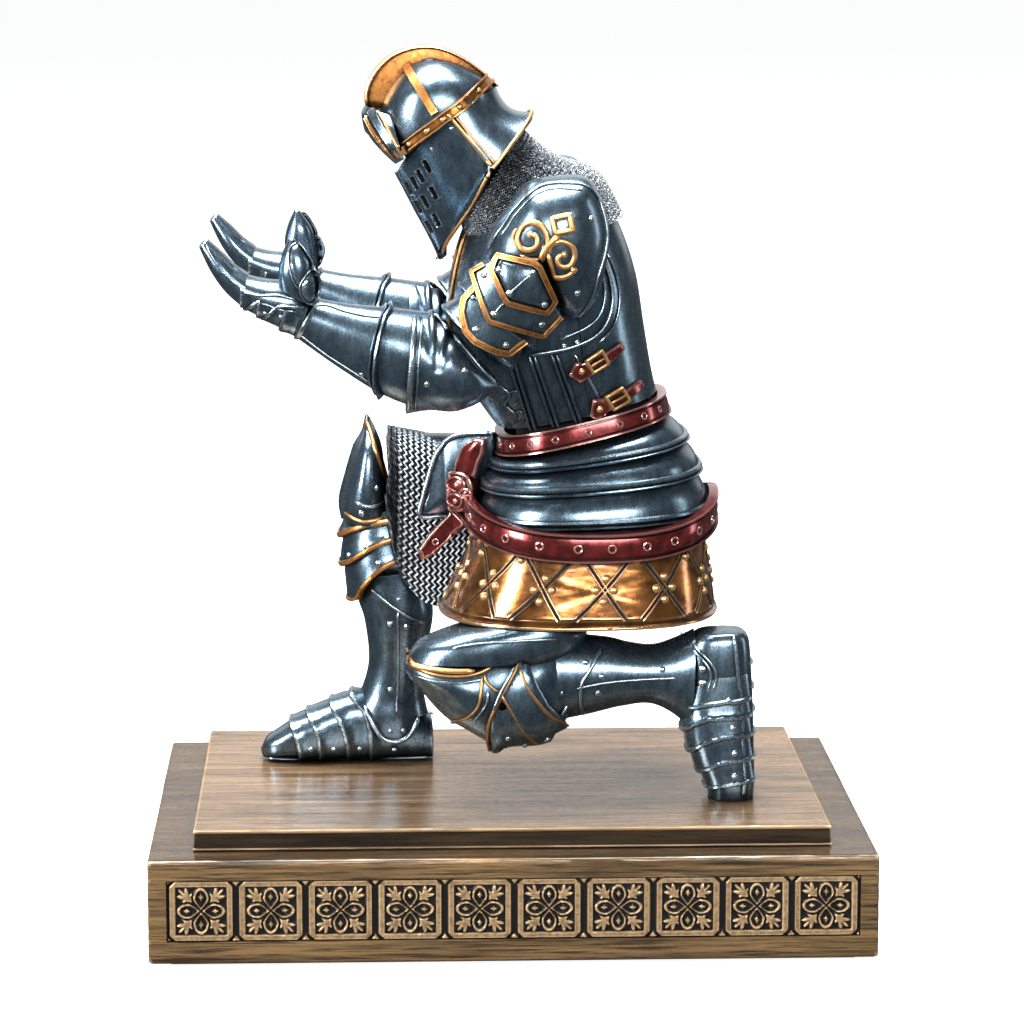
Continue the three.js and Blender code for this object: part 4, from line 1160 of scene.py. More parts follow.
def skirt():
    """A flared shell with a lattice of paired beads and four studs round every crossing."""
    hem = 51.5
    limb = Limb([oval(14.4, 19.6, 21.6, 67.6, 0), [14.2 - 21.2, 60.4, 14.2 + 20.8, 60.4, 0, 22.9],
                 oval(12.4, 24.0, 24.6, hem, 0)], 2.7)
    first, last = 0.86, TAU + 0.10          # the shell is open where the thigh comes out
    count, rows = 560, 70
    a = np.linspace(first, last, count)
    t = np.linspace(0.16, 2.0, rows)
    tt, aa = np.meshgrid(t, a, indexing="ij")
    flat = limb.at(np.full(count, 1.3), a)
    run = np.r_[0, np.cumsum(np.linalg.norm(np.diff(flat, axis=0), axis=1))]
    near = np.interp(3 * math.pi / 2, a, run) - 2.4
    low = limb.at(tt, aa)
    z = low[..., 2]
    foot = z - hem
    h = np.exp(-((foot - 0.30) / 0.34) ** 2) * 0.42 - np.exp(-((foot - 0.95) / 0.22) ** 2) * 0.15
    h = h + np.exp(-((foot - 1.55) / 0.2) ** 2) * 0.16
    h = h + 0.05 * waves(run[None, :] * 0.5, z * 0.7, 2)
    piece = Piece("skirt_quilted")
    piece.sheet(limb.lift(tt, aa, h), PLATE, 0.9)

    def spot(r, height):
        """Point and normal at a distance r round the shell."""
        angle = np.interp(r, run, a)
        levels = limb.at(t, np.full(rows, angle))[:, 2]
        at, angle = np.array(np.interp(-height, -levels, t)), np.array(angle)
        return limb.lift(at, angle, 0.0), limb.normal(at, angle)

    pitch, rise, waist_line = 10.6, 13.2, 58.2
    top, bottom = 66.6, 53.2
    studs = set()
    for family in (1, -1):
        for k in range(-14, 15):
            line = []
            for height in np.linspace(bottom, top, 46):
                r = near + pitch * (k - family * (height - waist_line) / rise)
                if 0.6 < r < run[-1] - 0.6:
                    line.append(spot(r, height))
            if len(line) < 6:
                continue
            places, normals = np.array([q[0] for q in line]), np.array([q[1] for q in line])
            across = unit(np.cross(normals, np.gradient(places, axis=0)))
            for shift in (-0.36, 0.36):
                sweep(piece, places + across * shift - normals * 0.02, normals,
                      cord_section(0.15, 0.6, 8), PLATE)
            # A black strip between the beads of each pair: black antiquing and painted shade in the
            # groove.
            sweep(piece, places + normals * 0.05, normals, strap_section(0.46, 0.03), SHADE_AND_PAINT_BLACK)
    for i in range(-30, 31):
        middle, level = near + pitch * i / 2, waist_line + rise * (i % 2) / 2
        for dr, dz in ((1.55, 0), (-1.55, 0), (0, 1.9), (0, -1.9)):
            studs.add((round(middle + dr, 3), round(level + dz, 3)))
            studs.add((round(middle + dr, 3), round(level - (i % 2) * rise + dz, 3)))
    for r, height in sorted(studs):
        if bottom + 0.5 < height < top - 0.6 and 1.0 < r < run[-1] - 1.0:
            place, normal = spot(r, height)
            stud(piece, place + normal * 0.04, normal, 0.64, GOLD, 0.9, sides=12)
    piece.done("skirt", slot="gilt_plate", smooth=50)


# ------------------------------------------------------------------ mail


def mail_skirt():
    """Mail over the raised thigh: over the top and down to a rounded hem on the near side."""
    limb = Limb([[-1, 77.6, -7, 60.5, 14, 10.8], [-12, 79.0, -13, 61, 15, 10.5],
                 [-20.6, 80.7, -18.8, 62, 15, 9.6]], 2.6)
    columns, count = 150, 470
    link_fall, link_pitch, wire_half, knuckle_pitch = 1.3, 1.02, 0.31, 0.75
    along_leg = np.linspace(-2.6, -20.3, columns)
    hem_x = np.array([-20.4, -19.4, -18.9, -18.3, -17.2, -15.6, -14.0, -12.4, -10.5, -8.0, -2.0])
    hem_z = np.array([70.0, 64.0, 60.0, 57.2, 54.8, 52.6, 51.2, 50.3, 50.0, 50.6, 54.0])
    rows = []
    for x in along_leg:
        t = np.interp(-x, [1, 12, 20.6], [0, 1, 2])
        over = limb.at(np.full(160, t), np.linspace(1.9, -1.35, 160))
        over[:, 0] = over[:, 0] * 0.3 + x * 0.7
        low = np.interp(x, hem_x, hem_z)
        end = over[-1]
        n = 60
        f = np.linspace(0, 1, n)
        lean = 0.7 * np.sin(f * math.pi) + 0.9 * f
        fall = np.stack([np.full(n, x) - 0.5 * f, end[1] + lean,
                         end[2] + (min(low, end[2] - 0.5) - end[2]) * f], 1)
        line = np.vstack([over, fall[1:]])
        length = np.r_[0, np.cumsum(np.linalg.norm(np.diff(line, axis=0), axis=1))]
        marks = np.linspace(0, length[-1], count)
        rows.append(np.stack([np.interp(marks, length, line[:, k]) for k in range(3)], 1))
    grid = np.array(rows)
    for _ in range(6):
        grid[1:-1] = (grid[:-2] + 2 * grid[1:-1] + grid[2:]) / 4
    drop = np.concatenate([np.zeros((columns, 1)),
                           np.cumsum(np.linalg.norm(np.diff(grid, axis=1), axis=2), axis=1)], 1)
    level_line = 150                             # the links of all columns are in step here
    drop = drop - drop[:, [level_line]]
    u = np.broadcast_to(along_leg[:, None], drop.shape)
    zigzag = 0.30 * (1 - 4 * np.abs((drop / link_fall) % 1 - 0.5))
    local = (u + zigzag + 40) / link_pitch % 1 - 0.5
    wire = np.clip(1 - (np.abs(local) / wire_half) ** 2, 0, 1) ** 0.6
    knuckle = 0.8 + 0.2 * np.abs(np.sin(np.pi * drop / knuckle_pitch))
    normal = unit(np.cross(np.gradient(grid, axis=0), np.gradient(grid, axis=1)))
    lean = np.sign((normal * (grid - np.array([-12, 15, 70]))).sum(-1, keepdims=True))
    face = grid + normal * lean * (0.50 * (wire * knuckle)[..., None] - 0.3)
    inner = (grid - normal * lean * 0.9)[::10]
    piece = Piece("mail_skirt_links")
    piece.grid(np.concatenate([face, inner[::-1]], 0), MAIL, wrap_rows=True, wrap_columns=False)
    piece.done("mail_skirt", slot="mail", smooth=60)


COLLAR = Limb([[-7.4, 118.6, 2.6, 134.4, 0, 10.0], [-6.9, 116.4, 8.2, 129.9, 0, 12.8],
               [-6.2, 114.4, 15.6, 127.0, 0, 15.9], [-5.2, 113.0, 20.0, 119.8, 0, 18.4]], 2.3)


def collar():
    """Mail shawl: rows of small rings, every other row shifted by half a ring."""
    rows, count, pitch, fall = 150, 620, 1.0, 0.80
    ring_radius, wire = 0.33, 0.14
    t = np.linspace(0, 3, rows)[:, None]
    a = np.linspace(0, TAU, count, endpoint=False)[None, :]
    t, a = np.broadcast_arrays(t, a)
    middle = COLLAR.at(1.6, a[0])
    run = np.r_[0, np.cumsum(np.linalg.norm(np.diff(middle, axis=0), axis=1))]
    around = run[-1] + np.linalg.norm(middle[-1] - middle[0])
    u = run / around * round(around / pitch)
    steps = np.diff(COLLAR.at(t, a), axis=0, prepend=COLLAR.at(t[:1], a[:1]))
    row = np.cumsum(np.linalg.norm(steps, axis=2), axis=0) / fall
    shift = 0.5 * (np.floor(row) % 2)
    x = ((u[None, :] + shift) % 1 - 0.5) * pitch
    y = (row % 1 - 0.5) * fall
    ring = np.exp(-((np.hypot(x, y) - ring_radius) / wire) ** 2)
    face = COLLAR.lift(t, a, -0.42 + 0.70 * ring)
    inner = COLLAR.lift(t[::10], a[::10], np.full(t[::10].shape, -1.2))
    piece = Piece("mail_collar_links")
    piece.grid(np.concatenate([face, inner[::-1]], 0), MAIL, wrap_rows=True)
    piece.done("mail_collar", slot="mail", smooth=60)


# ------------------------------------------------------------------ helmet
HALF = (-math.pi / 2, math.pi / 2)


def shield(rows, power, t_count, a_count):
    """A plate that wraps the middle plane. Rows are [nose x, nose z, rim x, rim z, half width]:
    the nose lies on the middle plane, the rim is where the plate ends on each side."""
    stations = [[nx, nz, 2 * rx - nx, 2 * rz - nz, 0, w] for nx, nz, rx, rz, w in rows]
    limb = Limb(stations, power)
    t = np.linspace(0, len(rows) - 1, t_count)[:, None]
    a = np.linspace(*HALF, a_count)[None, :]
    return limb, t + 0 * a, a + 0 * t


SKULL = [[-20.6, 130.2, -2.0, 139.8, 0, 10.9], [-21.2, 133.0, -2.0, 141.6, 0, 11.0],
         [-21.4, 136.6, -3.3, 142.9, 0, 10.7], [-20.5, 139.8, -5.3, 144.1, 0, 9.9],
         [-18.6, 142.9, -7.6, 145.2, 0, 8.1], [-16.6, 144.9, -9.6, 145.9, 0, 5.6],
         [-14.6, 146.0, -11.4, 146.3, 0, 2.6]]
VISOR = [[-18.5, 127.0, -10.2, 138.2, 11.2], [-17.0, 124.2, -8.1, 135.6, 11.5],
         [-15.1, 120.5, -5.4, 131.8, 11.5], [-13.2, 117.0, -3.2, 128.1, 11.3],
         [-12.0, 114.6, -6.0, 121.8, 8.4], [-11.0, 112.4, -9.4, 116.2, 4.0],
         [-10.8, 112.0, -10.6, 112.9, 0.7]]
GUARD = [[-1.6, 141.6, -10.3, 138.3, 11.4], [0.1, 139.5, -8.4, 136.0, 11.9],
         [2.0, 138.0, -6.3, 133.5, 12.3], [4.5, 137.2, -2.5, 128.6, 12.9]]
SLOTS = ((-13.5, 128.6), (-14.6, 126.8), (-15.6, 125.5), (-16.6, 124.4), (-12.4, 124.0),
         (-13.8, 122.3), (-14.9, 121.2), (-11.9, 119.2), (-13.1, 117.8))
SLOT_RUN = np.array([7.5, -14.3]) / 16.15        # breath slots run down the visor's front edge


def slot_depth(points):
    """How far inside a breath slot each point lies, in millimetres; negative outside."""
    best = np.full(points.shape[:-1], -9.0)
    across = np.array([SLOT_RUN[1], -SLOT_RUN[0]])
    for x, z in SLOTS:
        dx, dz = points[..., 0] - x, points[..., 2] - z
        u = 1.15 - np.abs(dx * SLOT_RUN[0] + dz * SLOT_RUN[1])
        v = 0.38 - np.abs(dx * across[0] + dz * across[1])
        best = np.maximum(best, np.minimum(u, v))
    return best


def helmet_skull():
    """The crown, with a black core of painted shade that closes the view through the visor."""
    dome = Limb(SKULL, 2.2)
    piece = Piece("helmet_skull_cast")
    shell(dome, 0, 6, piece, STEEL, rows=64, count=150)
    # Painted shade: a black core inside the skull, seen through the breath slots.
    core = Limb([[-18.6, 131.5, -2.6, 141.0, 0, 9.6], [-15.4, 127.0, -2.2, 135.0, 0, 9.0],
                 [-12.2, 120.5, -4.4, 129.0, 0, 7.0]], 2.2)
    shell(core, 0, 2, piece, SHADE_AND_PAINT_BLACK, rows=20, count=60)
    piece.done("helmet_skull")
    return dome


def visor():
    """The pointed face guard, with a ridge down the middle and breath slots."""
    piece = Piece("visor_cast")
    limb, t, a = shield(VISOR, 1.75, 170, 268)
    grid = limb.lift(t, a, 0.3 * np.exp(-(a / 0.06) ** 2))
    grid[..., 0] -= 0.25 * np.exp(-(a / 0.05) ** 2)
    unpierced = grid.copy()
    inside_slot = slot_depth(unpierced)
    normal = limb.normal(t, a)
    rim = np.exp(-((inside_slot + 0.10) / 0.10) ** 2) * 0.10
    grid = grid + normal * (rim - 0.75 * np.clip(inside_slot / 0.12, 0, 1))[..., None]
    # The faces inside the breath slots take the black: painted shade in the slots.
    piece.sheet(grid, STEEL, 1.0, inlay=(SHADE_AND_PAINT_BLACK, inside_slot > 0.02))
    skin = Skin((unpierced, False))
    for side in (LEFT, RIGHT):
        rivets(piece, skin, [(-9.4, 135.2), (-12.8, 131.6)], 0.3, STEEL, side)
    piece.done("visor")
    return limb


def neck_guard():
    """The flared plate over the nape, with a gilt bead along its rim."""
    piece = Piece("neck_guard_cast")
    guard, t, a = shield(GUARD, 2.2, 60, 130)
    hollow = -0.7 * np.sin(np.clip(t / 3, 0, 1) * math.pi) * (1 - np.abs(a) / 3)
    grid = guard.lift(t, a, hollow)
    piece.sheet(grid, STEEL, 1.0)
    sweep(piece, grid[-1], guard.normal(t[-1], a[-1]), cord_section(0.34), GOLD)
    piece.done("neck_guard")
    return grid


def strapwork(dome, face, guard_grid):
    """The gilt bands, beads and rivets over skull, visor and neck guard."""
    piece = Piece("helmet_strapwork_worked")
    t = np.linspace(0, 6, 60)[:, None]
    over = Skin((dome.at(t, np.linspace(0, TAU, 160)[None, :]), False),
                (face.at(t, np.linspace(*HALF, 120)[None, :]), False), (guard_grid, False))
    for side in (LEFT, RIGHT):
        band = [(-18.0, 130.9), (-16.5, 132.4), (-12.5, 135.6), (-8.0, 138.8), (-4.6, 141.5),
                (-3.0, 142.6)]
        strap(piece, over, band, 2.0, 0.42, GOLD, side, lip=0.48, step=0.5)
        places, normals = over.climb((-12.2, 137.7), (-16.9, 145.3), side)
        sweep(piece, places, normals, strap_section(1.5, 0.7), GOLD)
        rivets(piece, over, [(-16.4, 132.5), (-13.5, 134.8), (-10.8, 136.7),
                             (-8.1, 138.8), (-5.0, 141.2)], 0.48, GOLD, side, lift=0.42)
        cord(piece, over, [(-10.3, 138.0), (-6.4, 133.3), (-2.6, 128.8)], 0.42, GOLD, side)
        cord(piece, over, [(-9.6, 138.2), (-5.8, 133.6), (-2.1, 129.3)], 0.22, GOLD, side)
        cord(piece, over, [(-3.0, 128.0), (-4.2, 125.6), (-6.1, 121.9), (-8.2, 118.6),
                           (-10.0, 115.6), (-10.8, 113.2)], 0.34, GOLD, side)
    piece.done("helmet_strapwork", slot="gilt_trim")


def resample(line, count):
    """The same line with another number of points."""
    marks = np.linspace(0, 1, len(line))
    return np.stack([np.interp(np.linspace(0, 1, count), marks, line[:, k])
                     for k in range(line.shape[1])], 1)


def comb():
    """The fin over the crown, with a beaded outer edge."""
    outer = curve([(-23.9, 138.0), (-24.0, 140.9), (-22.9, 143.7), (-20.7, 146.2), (-18, 147.8),
                   (-14.6, 148.6), (-11.2, 148.3), (-7.8, 146.9), (-4.4, 144.6), (-1.0, 141.6)],
                  0.3)
    inner = curve([(-20.0, 137.8), (-19.4, 139.6), (-17.6, 142.6), (-15.4, 144.6),
                   (-11.6, 145.2), (-8.4, 144.4), (-5.6, 143.0), (-3.2, 141.2)], 0.3)
    count = 130
    outer, inner = resample(outer, count), resample(inner, count)
    section = [(0, 1.9), (0.15, 1.65), (0.5, 1.30), (0.76, 1.10), (0.83, 1.04), (0.86, 1.40),
               (0.92, 1.58), (0.98, 1.35), (1.0, 0.7), (1.0, 0)]
    section += [(f, -w) for f, w in section[-2::-1]]
    rows = []
    for k, (p, q) in enumerate(zip(outer, inner)):
        thin = min(1.0, 0.35 + 0.12 * min(k, count - 1 - k))
        rows.append([[q[0] + (p[0] - q[0]) * f, w * thin, q[1] + (p[1] - q[1]) * f]
                     for f, w in section])
    piece = Piece("helmet_comb_cast")
    piece.grid(np.array(rows), GOLD)
    piece.done("helmet_comb", slot="gilt_trim")


def brow():
    """The peak over the sight, with two gilt bars along it."""
    plate = [[-23.9, 138.4, -19.6, 137.0, 6.6], [-24.2, 136.8, -19.0, 134.4, 8.6],
             [-23.4, 133.4, -18.0, 131.4, 9.8], [-21.2, 130.6, -17.4, 130.0, 8.6],
             [-18.9, 128.4, -17.8, 129.2, 3.6]]
    beak, t, a = shield(plate, 1.7, 60, 110)
    ledge = 0.35 * np.clip(t / 0.8, 0, 1) * np.clip((2.0 - t) / 0.2, 0, 1)
    grid = beak.lift(t, a, ledge)
    piece = Piece("brow_plate_cast")
    piece.sheet(grid, STEEL, 1.8)
    skin = Skin((grid, False))
    for side in (LEFT, RIGHT):
        strap(piece, skin, [(-22.9, 137.6), (-21.4, 135.4), (-19.8, 133.0), (-18.4, 130.9)],
              1.5, 0.5, STEEL, side, lip=0.0)
        strap(piece, skin, [(-23.6, 136.6), (-22.4, 134.4), (-20.8, 132.3), (-18.9, 130.0)],
              0.8, 0.45, GOLD, side, lip=0.12)
        cord(piece, skin, [(-21.7, 137.6), (-20.4, 135.5), (-18.9, 132.8), (-17.8, 130.8)],
             0.3, GOLD, side, lift=0.2)
    piece.done("brow_plate")


body_skin = cuirass()
side_straps(body_skin)
waist()
skirt()
mail_skirt()
collar()
strapwork(helmet_skull(), visor(), neck_guard())
comb()
brow()

# ------------------------------------------------------------------ arms
ARM_Y = -23.0
SHOULDER = (6.5, 116.5)                  # x and z of the cushion's middle
FORWARD, DOWN = 0.643, 0.767             # the upper arm's direction


def arm_ring(t, half):
    """Front and back of the upper arm, t below the shoulder."""
    x, z = 5.2 - FORWARD * t, 113.6 - DOWN * t
    return x - DOWN * half, z + FORWARD * half, x + DOWN * half, z - FORWARD * half


def both_sides(piece, name, **values):
    """Finishes a left piece and its mirror image."""
    far = piece.mirrored(piece.name.replace("_left", "_right"))
    piece.done(f"{name}_left", **values)
    far.done(f"{name}_right", **values)


def arms():
    """The left arm from shoulder to thumb; every piece is mirrored for the right."""
    shoulder = Pillow([(2.4, 126.4), (6, 127.8), (12.3, 127.9), (14.9, 125), (16.6, 119.2),
                       (16, 113), (14.4, 107.5), (11, 104.4), (7.4, 107.2), (4.4, 112),
                       (-1.2, 113.4), (-4, 114.6), (-3.2, 119), (-0.6, 122.4)],
                      SHOULDER, -21.4, 10.4, 2.5)
    cushion = shoulder.grid(70, 150)
    piece = Piece("pauldron_left_cast")
    piece.grid(cushion, STEEL)
    skin = Skin((cushion, True))
    rim = np.array([(-3.6, 116.3), (-2.2, 118.9), (0.0, 122.1), (3.0, 125.5), (5.6, 126.9),
                    (8.6, 127.2), (12.2, 126.9), (14.2, 125.0), (15.4, 121.9), (15.9, 118.6),
                    (15.5, 115.6), (14.4, 112.0), (13.2, 108.0), (11.3, 105.0)])
    cord(piece, skin, rim, 0.3, STEEL, guess=-22)
    centre = np.array(SHOULDER)
    cord(piece, skin, centre + (rim[1:7] - centre) * 0.93, 0.2, STEEL, guess=-22)
    rivets(piece, skin, [(13.2, 121.6), (10.9, 109.4)], 0.5, STEEL)
    gold_lines = (
        ([(6.7, 121.7), (9.5, 122.3), (10.0, 119.9), (7.2, 119.4)], 0.50, True, True),
        ([(5.8, 116.6), (5.9, 118.6), (5.0, 120.5), (3.4, 121.1), (1.8, 120.2), (1.0, 118.5),
          (1.6, 117.0), (3.0, 116.6), (4.2, 117.5), (4.1, 118.9), (3.1, 119.2)], 0.46, False,
         False),
        ([(6.2, 116.0), (6.4, 117.4), (8.2, 118.1), (9.9, 117.2), (10.3, 115.4), (9.3, 114.0),
          (7.8, 114.2), (7.6, 115.5), (8.6, 116.0)], 0.46, False, False),
        ([(7.9, 119.1), (6.6, 118.0), (5.4, 116.6), (4.7, 114.6)], 0.60, False, False),
        ([(5.9, 116.2), (6.6, 113.9), (7.2, 112.2), (9.0, 112.4), (10.2, 113.3)], 0.46, False,
         False),
        ([(1.0, 117.2), (0.3, 118.6), (0.9, 120.0)], 0.34, False, False),
        ([(4.9, 115.2), (3.0, 115.2), (1.4, 115.8)], 0.4, False, False),
    )
    for line, radius, closed, sharp in gold_lines:
        cord(piece, skin, line, radius, GOLD, closed=closed, sharp=sharp, flat=0.8, lift=0.1)
    rivets(piece, skin, [(3.1, 119.2), (8.6, 115.9), (5.5, 117.0), (10.2, 113.3)], 0.5, GOLD,
           lift=0.1)
    both_sides(piece, "pauldron")

    def dome(x, z, y, slope, radius=9.0):
        """A smooth cushion in front of the arm for one lame to lie on."""
        reach = 13
        u, v = np.meshgrid(np.linspace(-reach, reach, 60), np.linspace(-reach, reach, 60))
        return Skin((np.stack([x - DOWN * u - FORWARD * v, y + slope * v + u ** 2 / (2 * radius),
                               z + FORWARD * u - DOWN * v], -1), False))

    frames = (
        ("upper", 1.5, 7.4, 7.2, 8.6, dome(1.8, 111.0, -32.7, 0.10),
         [(-2.4, 116), (3.8, 114.9), (4.8, 114.1), (7.5, 108), (6.1, 105.9), (-0.8, 107.8),
          (-1.4, 108.6), (-3.5, 113.3), (-3, 114.9)], None,
         [(3.0, 112.8), (-0.3, 109.7)], [(-0.3, 109.7), (3.3, 113.1), (5.2, 107.9), (-2.0, 113.4)]),
        ("middle", 7.8, 11.8, 7.1, 8.2, dome(-0.2, 107.6, -32.1, 0.08),
         [(-3.0, 115.2), (-4.9, 113.9), (-6.6, 112.8), (-4.9, 107.4), (-3.7, 104.8),
          (5.2, 102.0), (8.4, 105.6), (4, 111), (0, 113)],
         [(-4.4, 114.0), (-6.4, 112.8), (-4.7, 107.4), (-3.7, 105), (5.2, 102.2), (8.2, 105.4)],
         [(-1.2, 108.2), (-2.9, 106.1)], [(-4.5, 112.4), (-2.9, 106.1), (5.0, 104.2)]),
        ("lower", 12.2, 16.4, 6.8, 7.6, dome(-3.0, 104.4, -31.3, 0.0, 9.5),
         [(-5.6, 110.8), (-7.8, 108.6), (-8.4, 106.3), (-7.8, 103.2), (-6.1, 101.4),
          (-2.7, 99.7), (-0.5, 99.2), (2.4, 101.4), (1, 104), (-3, 108)],
         [(-5.6, 110.6), (-7.7, 108.4), (-8.2, 106.3), (-7.6, 103.3), (-6.1, 101.6),
          (-2.7, 99.9), (-0.5, 99.4), (2.3, 101.4)], None,
         [(-6.3, 108.7), (-5.9, 103.5), (-0.9, 100.8)]))
    for name, t0, t1, half, width, skin, outline, gold, crease, spots in frames:
        stations = [[*arm_ring(t, half + i * 0.5), ARM_Y + 1, width + i * 0.4]
                    for i, t in enumerate((t0, (t0 + t1) / 2, t1))]
        limb = Limb(stations, 2.3)
        piece = Piece(f"pauldron_lame_{name}_left_cast")
        profile = [(0, 0, -2.2), (0, 0, -0.3), (0.3, 0, -0.1), (0.6, 0, 0.05),
                   (1, -1.0, 0.1), (1, -0.85, 0.32), (1, -0.5, 0.42), (1, -0.15, 0.3),
                   (1, 0, 0), (1, 0, -2.2)]
        along(limb, 0, 2, profile, piece, STEEL, count=110)
        panel(piece, skin, outline, 0.0, STEEL, spacing=0.5, edge=0.3, sink=4.0)
        around = np.array(outline, float)
        middle = around.mean(0)
        if gold is None:
            strap(piece, skin, middle + (around - middle) * 0.93, 0.95, 0.55, GOLD, closed=True,
                  sharp=True, lift=-0.1, lip=0.12)
            panel(piece, skin, middle + (around - middle) * 0.79, 0.3, STEEL, spacing=0.5,
                  edge=0.5, sink=0.6, crown=0.5)
        else:
            strap(piece, skin, gold, 0.8 if name == "middle" else 1.1, 0.5, GOLD, sharp=True,
                  lift=-0.1, lip=0.1)
        high = 0.75 if gold is None else 0.0
        if crease:
            cord(piece, skin, crease, 0.24, STEEL, sharp=True, lift=high)
        rivets(piece, skin, spots, 0.5, STEEL, lift=high * 0.7)
        both_sides(piece, f"pauldron_lame_{name}")

    elbow = Limb([[-17.4, 88.5, -16.1, 105.6, ARM_Y, 8.7], [-13.6, 89.1, -12.8, 105.9, ARM_Y, 8.7],
                  [-9.2, 88.9, -9.4, 102.7, ARM_Y, 8.4], [-5.4, 90.3, -5.6, 98.0, ARM_Y, 7.0],
                  [-2.4, 92.6, -2.2, 94.4, ARM_Y, 3.6]], 2.2)
    creases = (((-14.3, 106.0), (-13.2, 99.0), 1.0, 0.8), ((-11.7, 105.4), (-12.4, 97.0), 1.0, 0.7),
               ((-9.6, 103.0), (-11.6, 97.2), 0.8, 0.7))

    def fold(t, a):
        """Creases pressed in on top of the elbow, fading downwards."""
        at = elbow.at(t, a)
        total = np.zeros(t.shape)
        for (ax, az), (bx, bz), depth, wide in creases:
            d = np.array([bx - ax, bz - az])
            f = np.clip(((at[..., 0] - ax) * d[0] + (at[..., 2] - az) * d[1]) / (d @ d), 0, 1)
            gap = np.hypot(at[..., 0] - ax - f * d[0], at[..., 2] - az - f * d[1])
            total = total - depth * np.exp(-(gap / wide) ** 2) * (1 - f * 0.8)
        return total

    piece = Piece("couter_left_cast")
    shell(elbow, 0, 4, piece, STEEL, rows=90, count=150, height=fold)
    t, a = np.meshgrid(np.linspace(0, 4, 90), np.linspace(0, TAU, 150, endpoint=False),
                       indexing="ij")
    skin = Skin((elbow.lift(t, a, fold(t, a)), True))
    cord(piece, skin, [(-12.6, 105.3), (-10.6, 103.1), (-8.2, 100.4), (-5.6, 97.2),
                       (-3.3, 94.6), (-2.4, 93.9)], 0.42, STEEL, guess=-25)
    for shift, radius in ((0.0, 0.55), (1.15, 0.24)):
        cord(piece, skin, [(-15.9 + shift, 105.2), (-16.3 + shift, 100), (-16.8 + shift, 94),
                           (-17.1 + shift, 89.2)], radius, STEEL, guess=-25)
    rivets(piece, skin, [(-14.0, 94.5), (-7.7, 96.7)], 0.45, STEEL)
    both_sides(piece, "couter")

    forearm = Limb([[-14.0, 89.0, -13.2, 105.4, ARM_Y, 7.9], [-21, 91.6, -20.0, 106.3, ARM_Y, 7.1],
                    [-28.4, 96.2, -26.4, 106.9, ARM_Y, 5.6],
                    [-35.9, 101.6, -32.2, 107.9, ARM_Y, 4.3]], 2.2)
    piece = Piece("vambrace_left_cast")
    shell(forearm, 0, 3, piece, STEEL, rows=60, count=110)
    profile = [(0, 0, -0.4), (0, 0, 0.1), (0.10, 0, 0.80), (0.22, 0, 1.15), (0.40, 0, 1.05),
               (0.54, 0, 0.30), (0.66, 0, 0.62), (0.82, 0, 0.74), (0.94, 0, 0.42), (1, 0, -0.4)]
    bend = crossing(forearm, [(-20.2, 106.0), (-21.2, 104.7), (-22.1, 101.6), (-22.7, 98.3),
                              (-22.7, 94.8), (-21.8, 92.4)])
    along(forearm, lambda a: bend(a) - 0.10, lambda a: bend(a) + 0.12, profile, piece, STEEL,
          count=110)
    lip = [(0, 0, -0.3), (0, 0, 0.1), (0.5, 0, 0.36), (1, -0.3, 0.42), (1, 0, 0.2), (1, 0, -0.5)]
    along(forearm, lambda a: 2.84 + 0.02 * np.cos(a), lambda a: 3.0 + 0 * a, lip, piece, STEEL,
          count=90)
    skin = Skin(limb_skin(forearm, 0, 3, 60))
    cord(piece, skin, [(-33.2, 107.0), (-30.5, 107.0), (-27.6, 106.1), (-24.2, 105.4),
                       (-21.6, 105.2)], 0.22, STEEL)
    cord(piece, skin, [(-35.0, 102.3), (-31.0, 99.2), (-27.0, 96.6), (-22.6, 93.8)], 0.25, STEEL)
    rivets(piece, skin, [(-24.8, 95.7)], 0.4, STEEL)
    both_sides(piece, "vambrace")

    palm = Limb([[-35.6, 101.4, -32.9, 108.4, ARM_Y, 4.4], [-37.9, 102.8, -35.6, 110.6, ARM_Y, 5.0],
                 [-41.8, 105.0, -40.8, 111.2, ARM_Y, 4.9],
                 [-44.9, 106.9, -44.4, 112.1, ARM_Y, 4.6]], 2.3)
    piece = Piece("palm_left_cast")
    shell(palm, 0, 3, piece, STEEL, rows=40, count=90)
    skin = Skin(limb_skin(palm, 0, 3))
    for t0, t1, high in ((0.35, 1.15, 0.42), (1.2, 2.1, 0.3), (2.1, 2.95, 0.2)):
        rows = [(0, 0, -0.4), (0, 0, 0.02), (0.4, 0, 0.12), (1, -0.7, high), (1, -0.3, high + 0.12),
                (1, 0, high), (1, 0, -0.4)]
        along(palm, t0, t1, rows, piece, STEEL, a0=-1.5, a1=1.5, count=50)
    cord(piece, skin, [(-44.0, 109.4), (-41.5, 108.9), (-38.2, 108.9), (-35.2, 108.0)], 0.24,
         STEEL)
    cord(piece, skin, [(-43.4, 107.0), (-41.2, 107.6), (-38.2, 106.6), (-35.4, 106.2)], 0.24,
         STEEL)
    for line in ([(-44.5, 106.2), (-43.2, 107.0), (-41.5, 108.1)],
                 [(-41.5, 104.7), (-40.0, 105.8), (-38.2, 107.1), (-34.4, 106.9)]):
        cord(piece, skin, line, 0.34, STEEL, lift=0.15)
    rivets(piece, skin, [(-37.9, 105.3), (-40.6, 105.9)], 0.5, STEEL)
    both_sides(piece, "palm")

    fingers = Limb([[-44.3, 106.4, -43.6, 112.2, ARM_Y, 4.6],
                    [-47.2, 109.0, -45.6, 113.6, ARM_Y, 4.3],
                    [-49.6, 112.4, -47.4, 115.4, ARM_Y, 3.7],
                    [-51.5, 116.4, -50.1, 117.8, ARM_Y, 2.3]], 2.3)

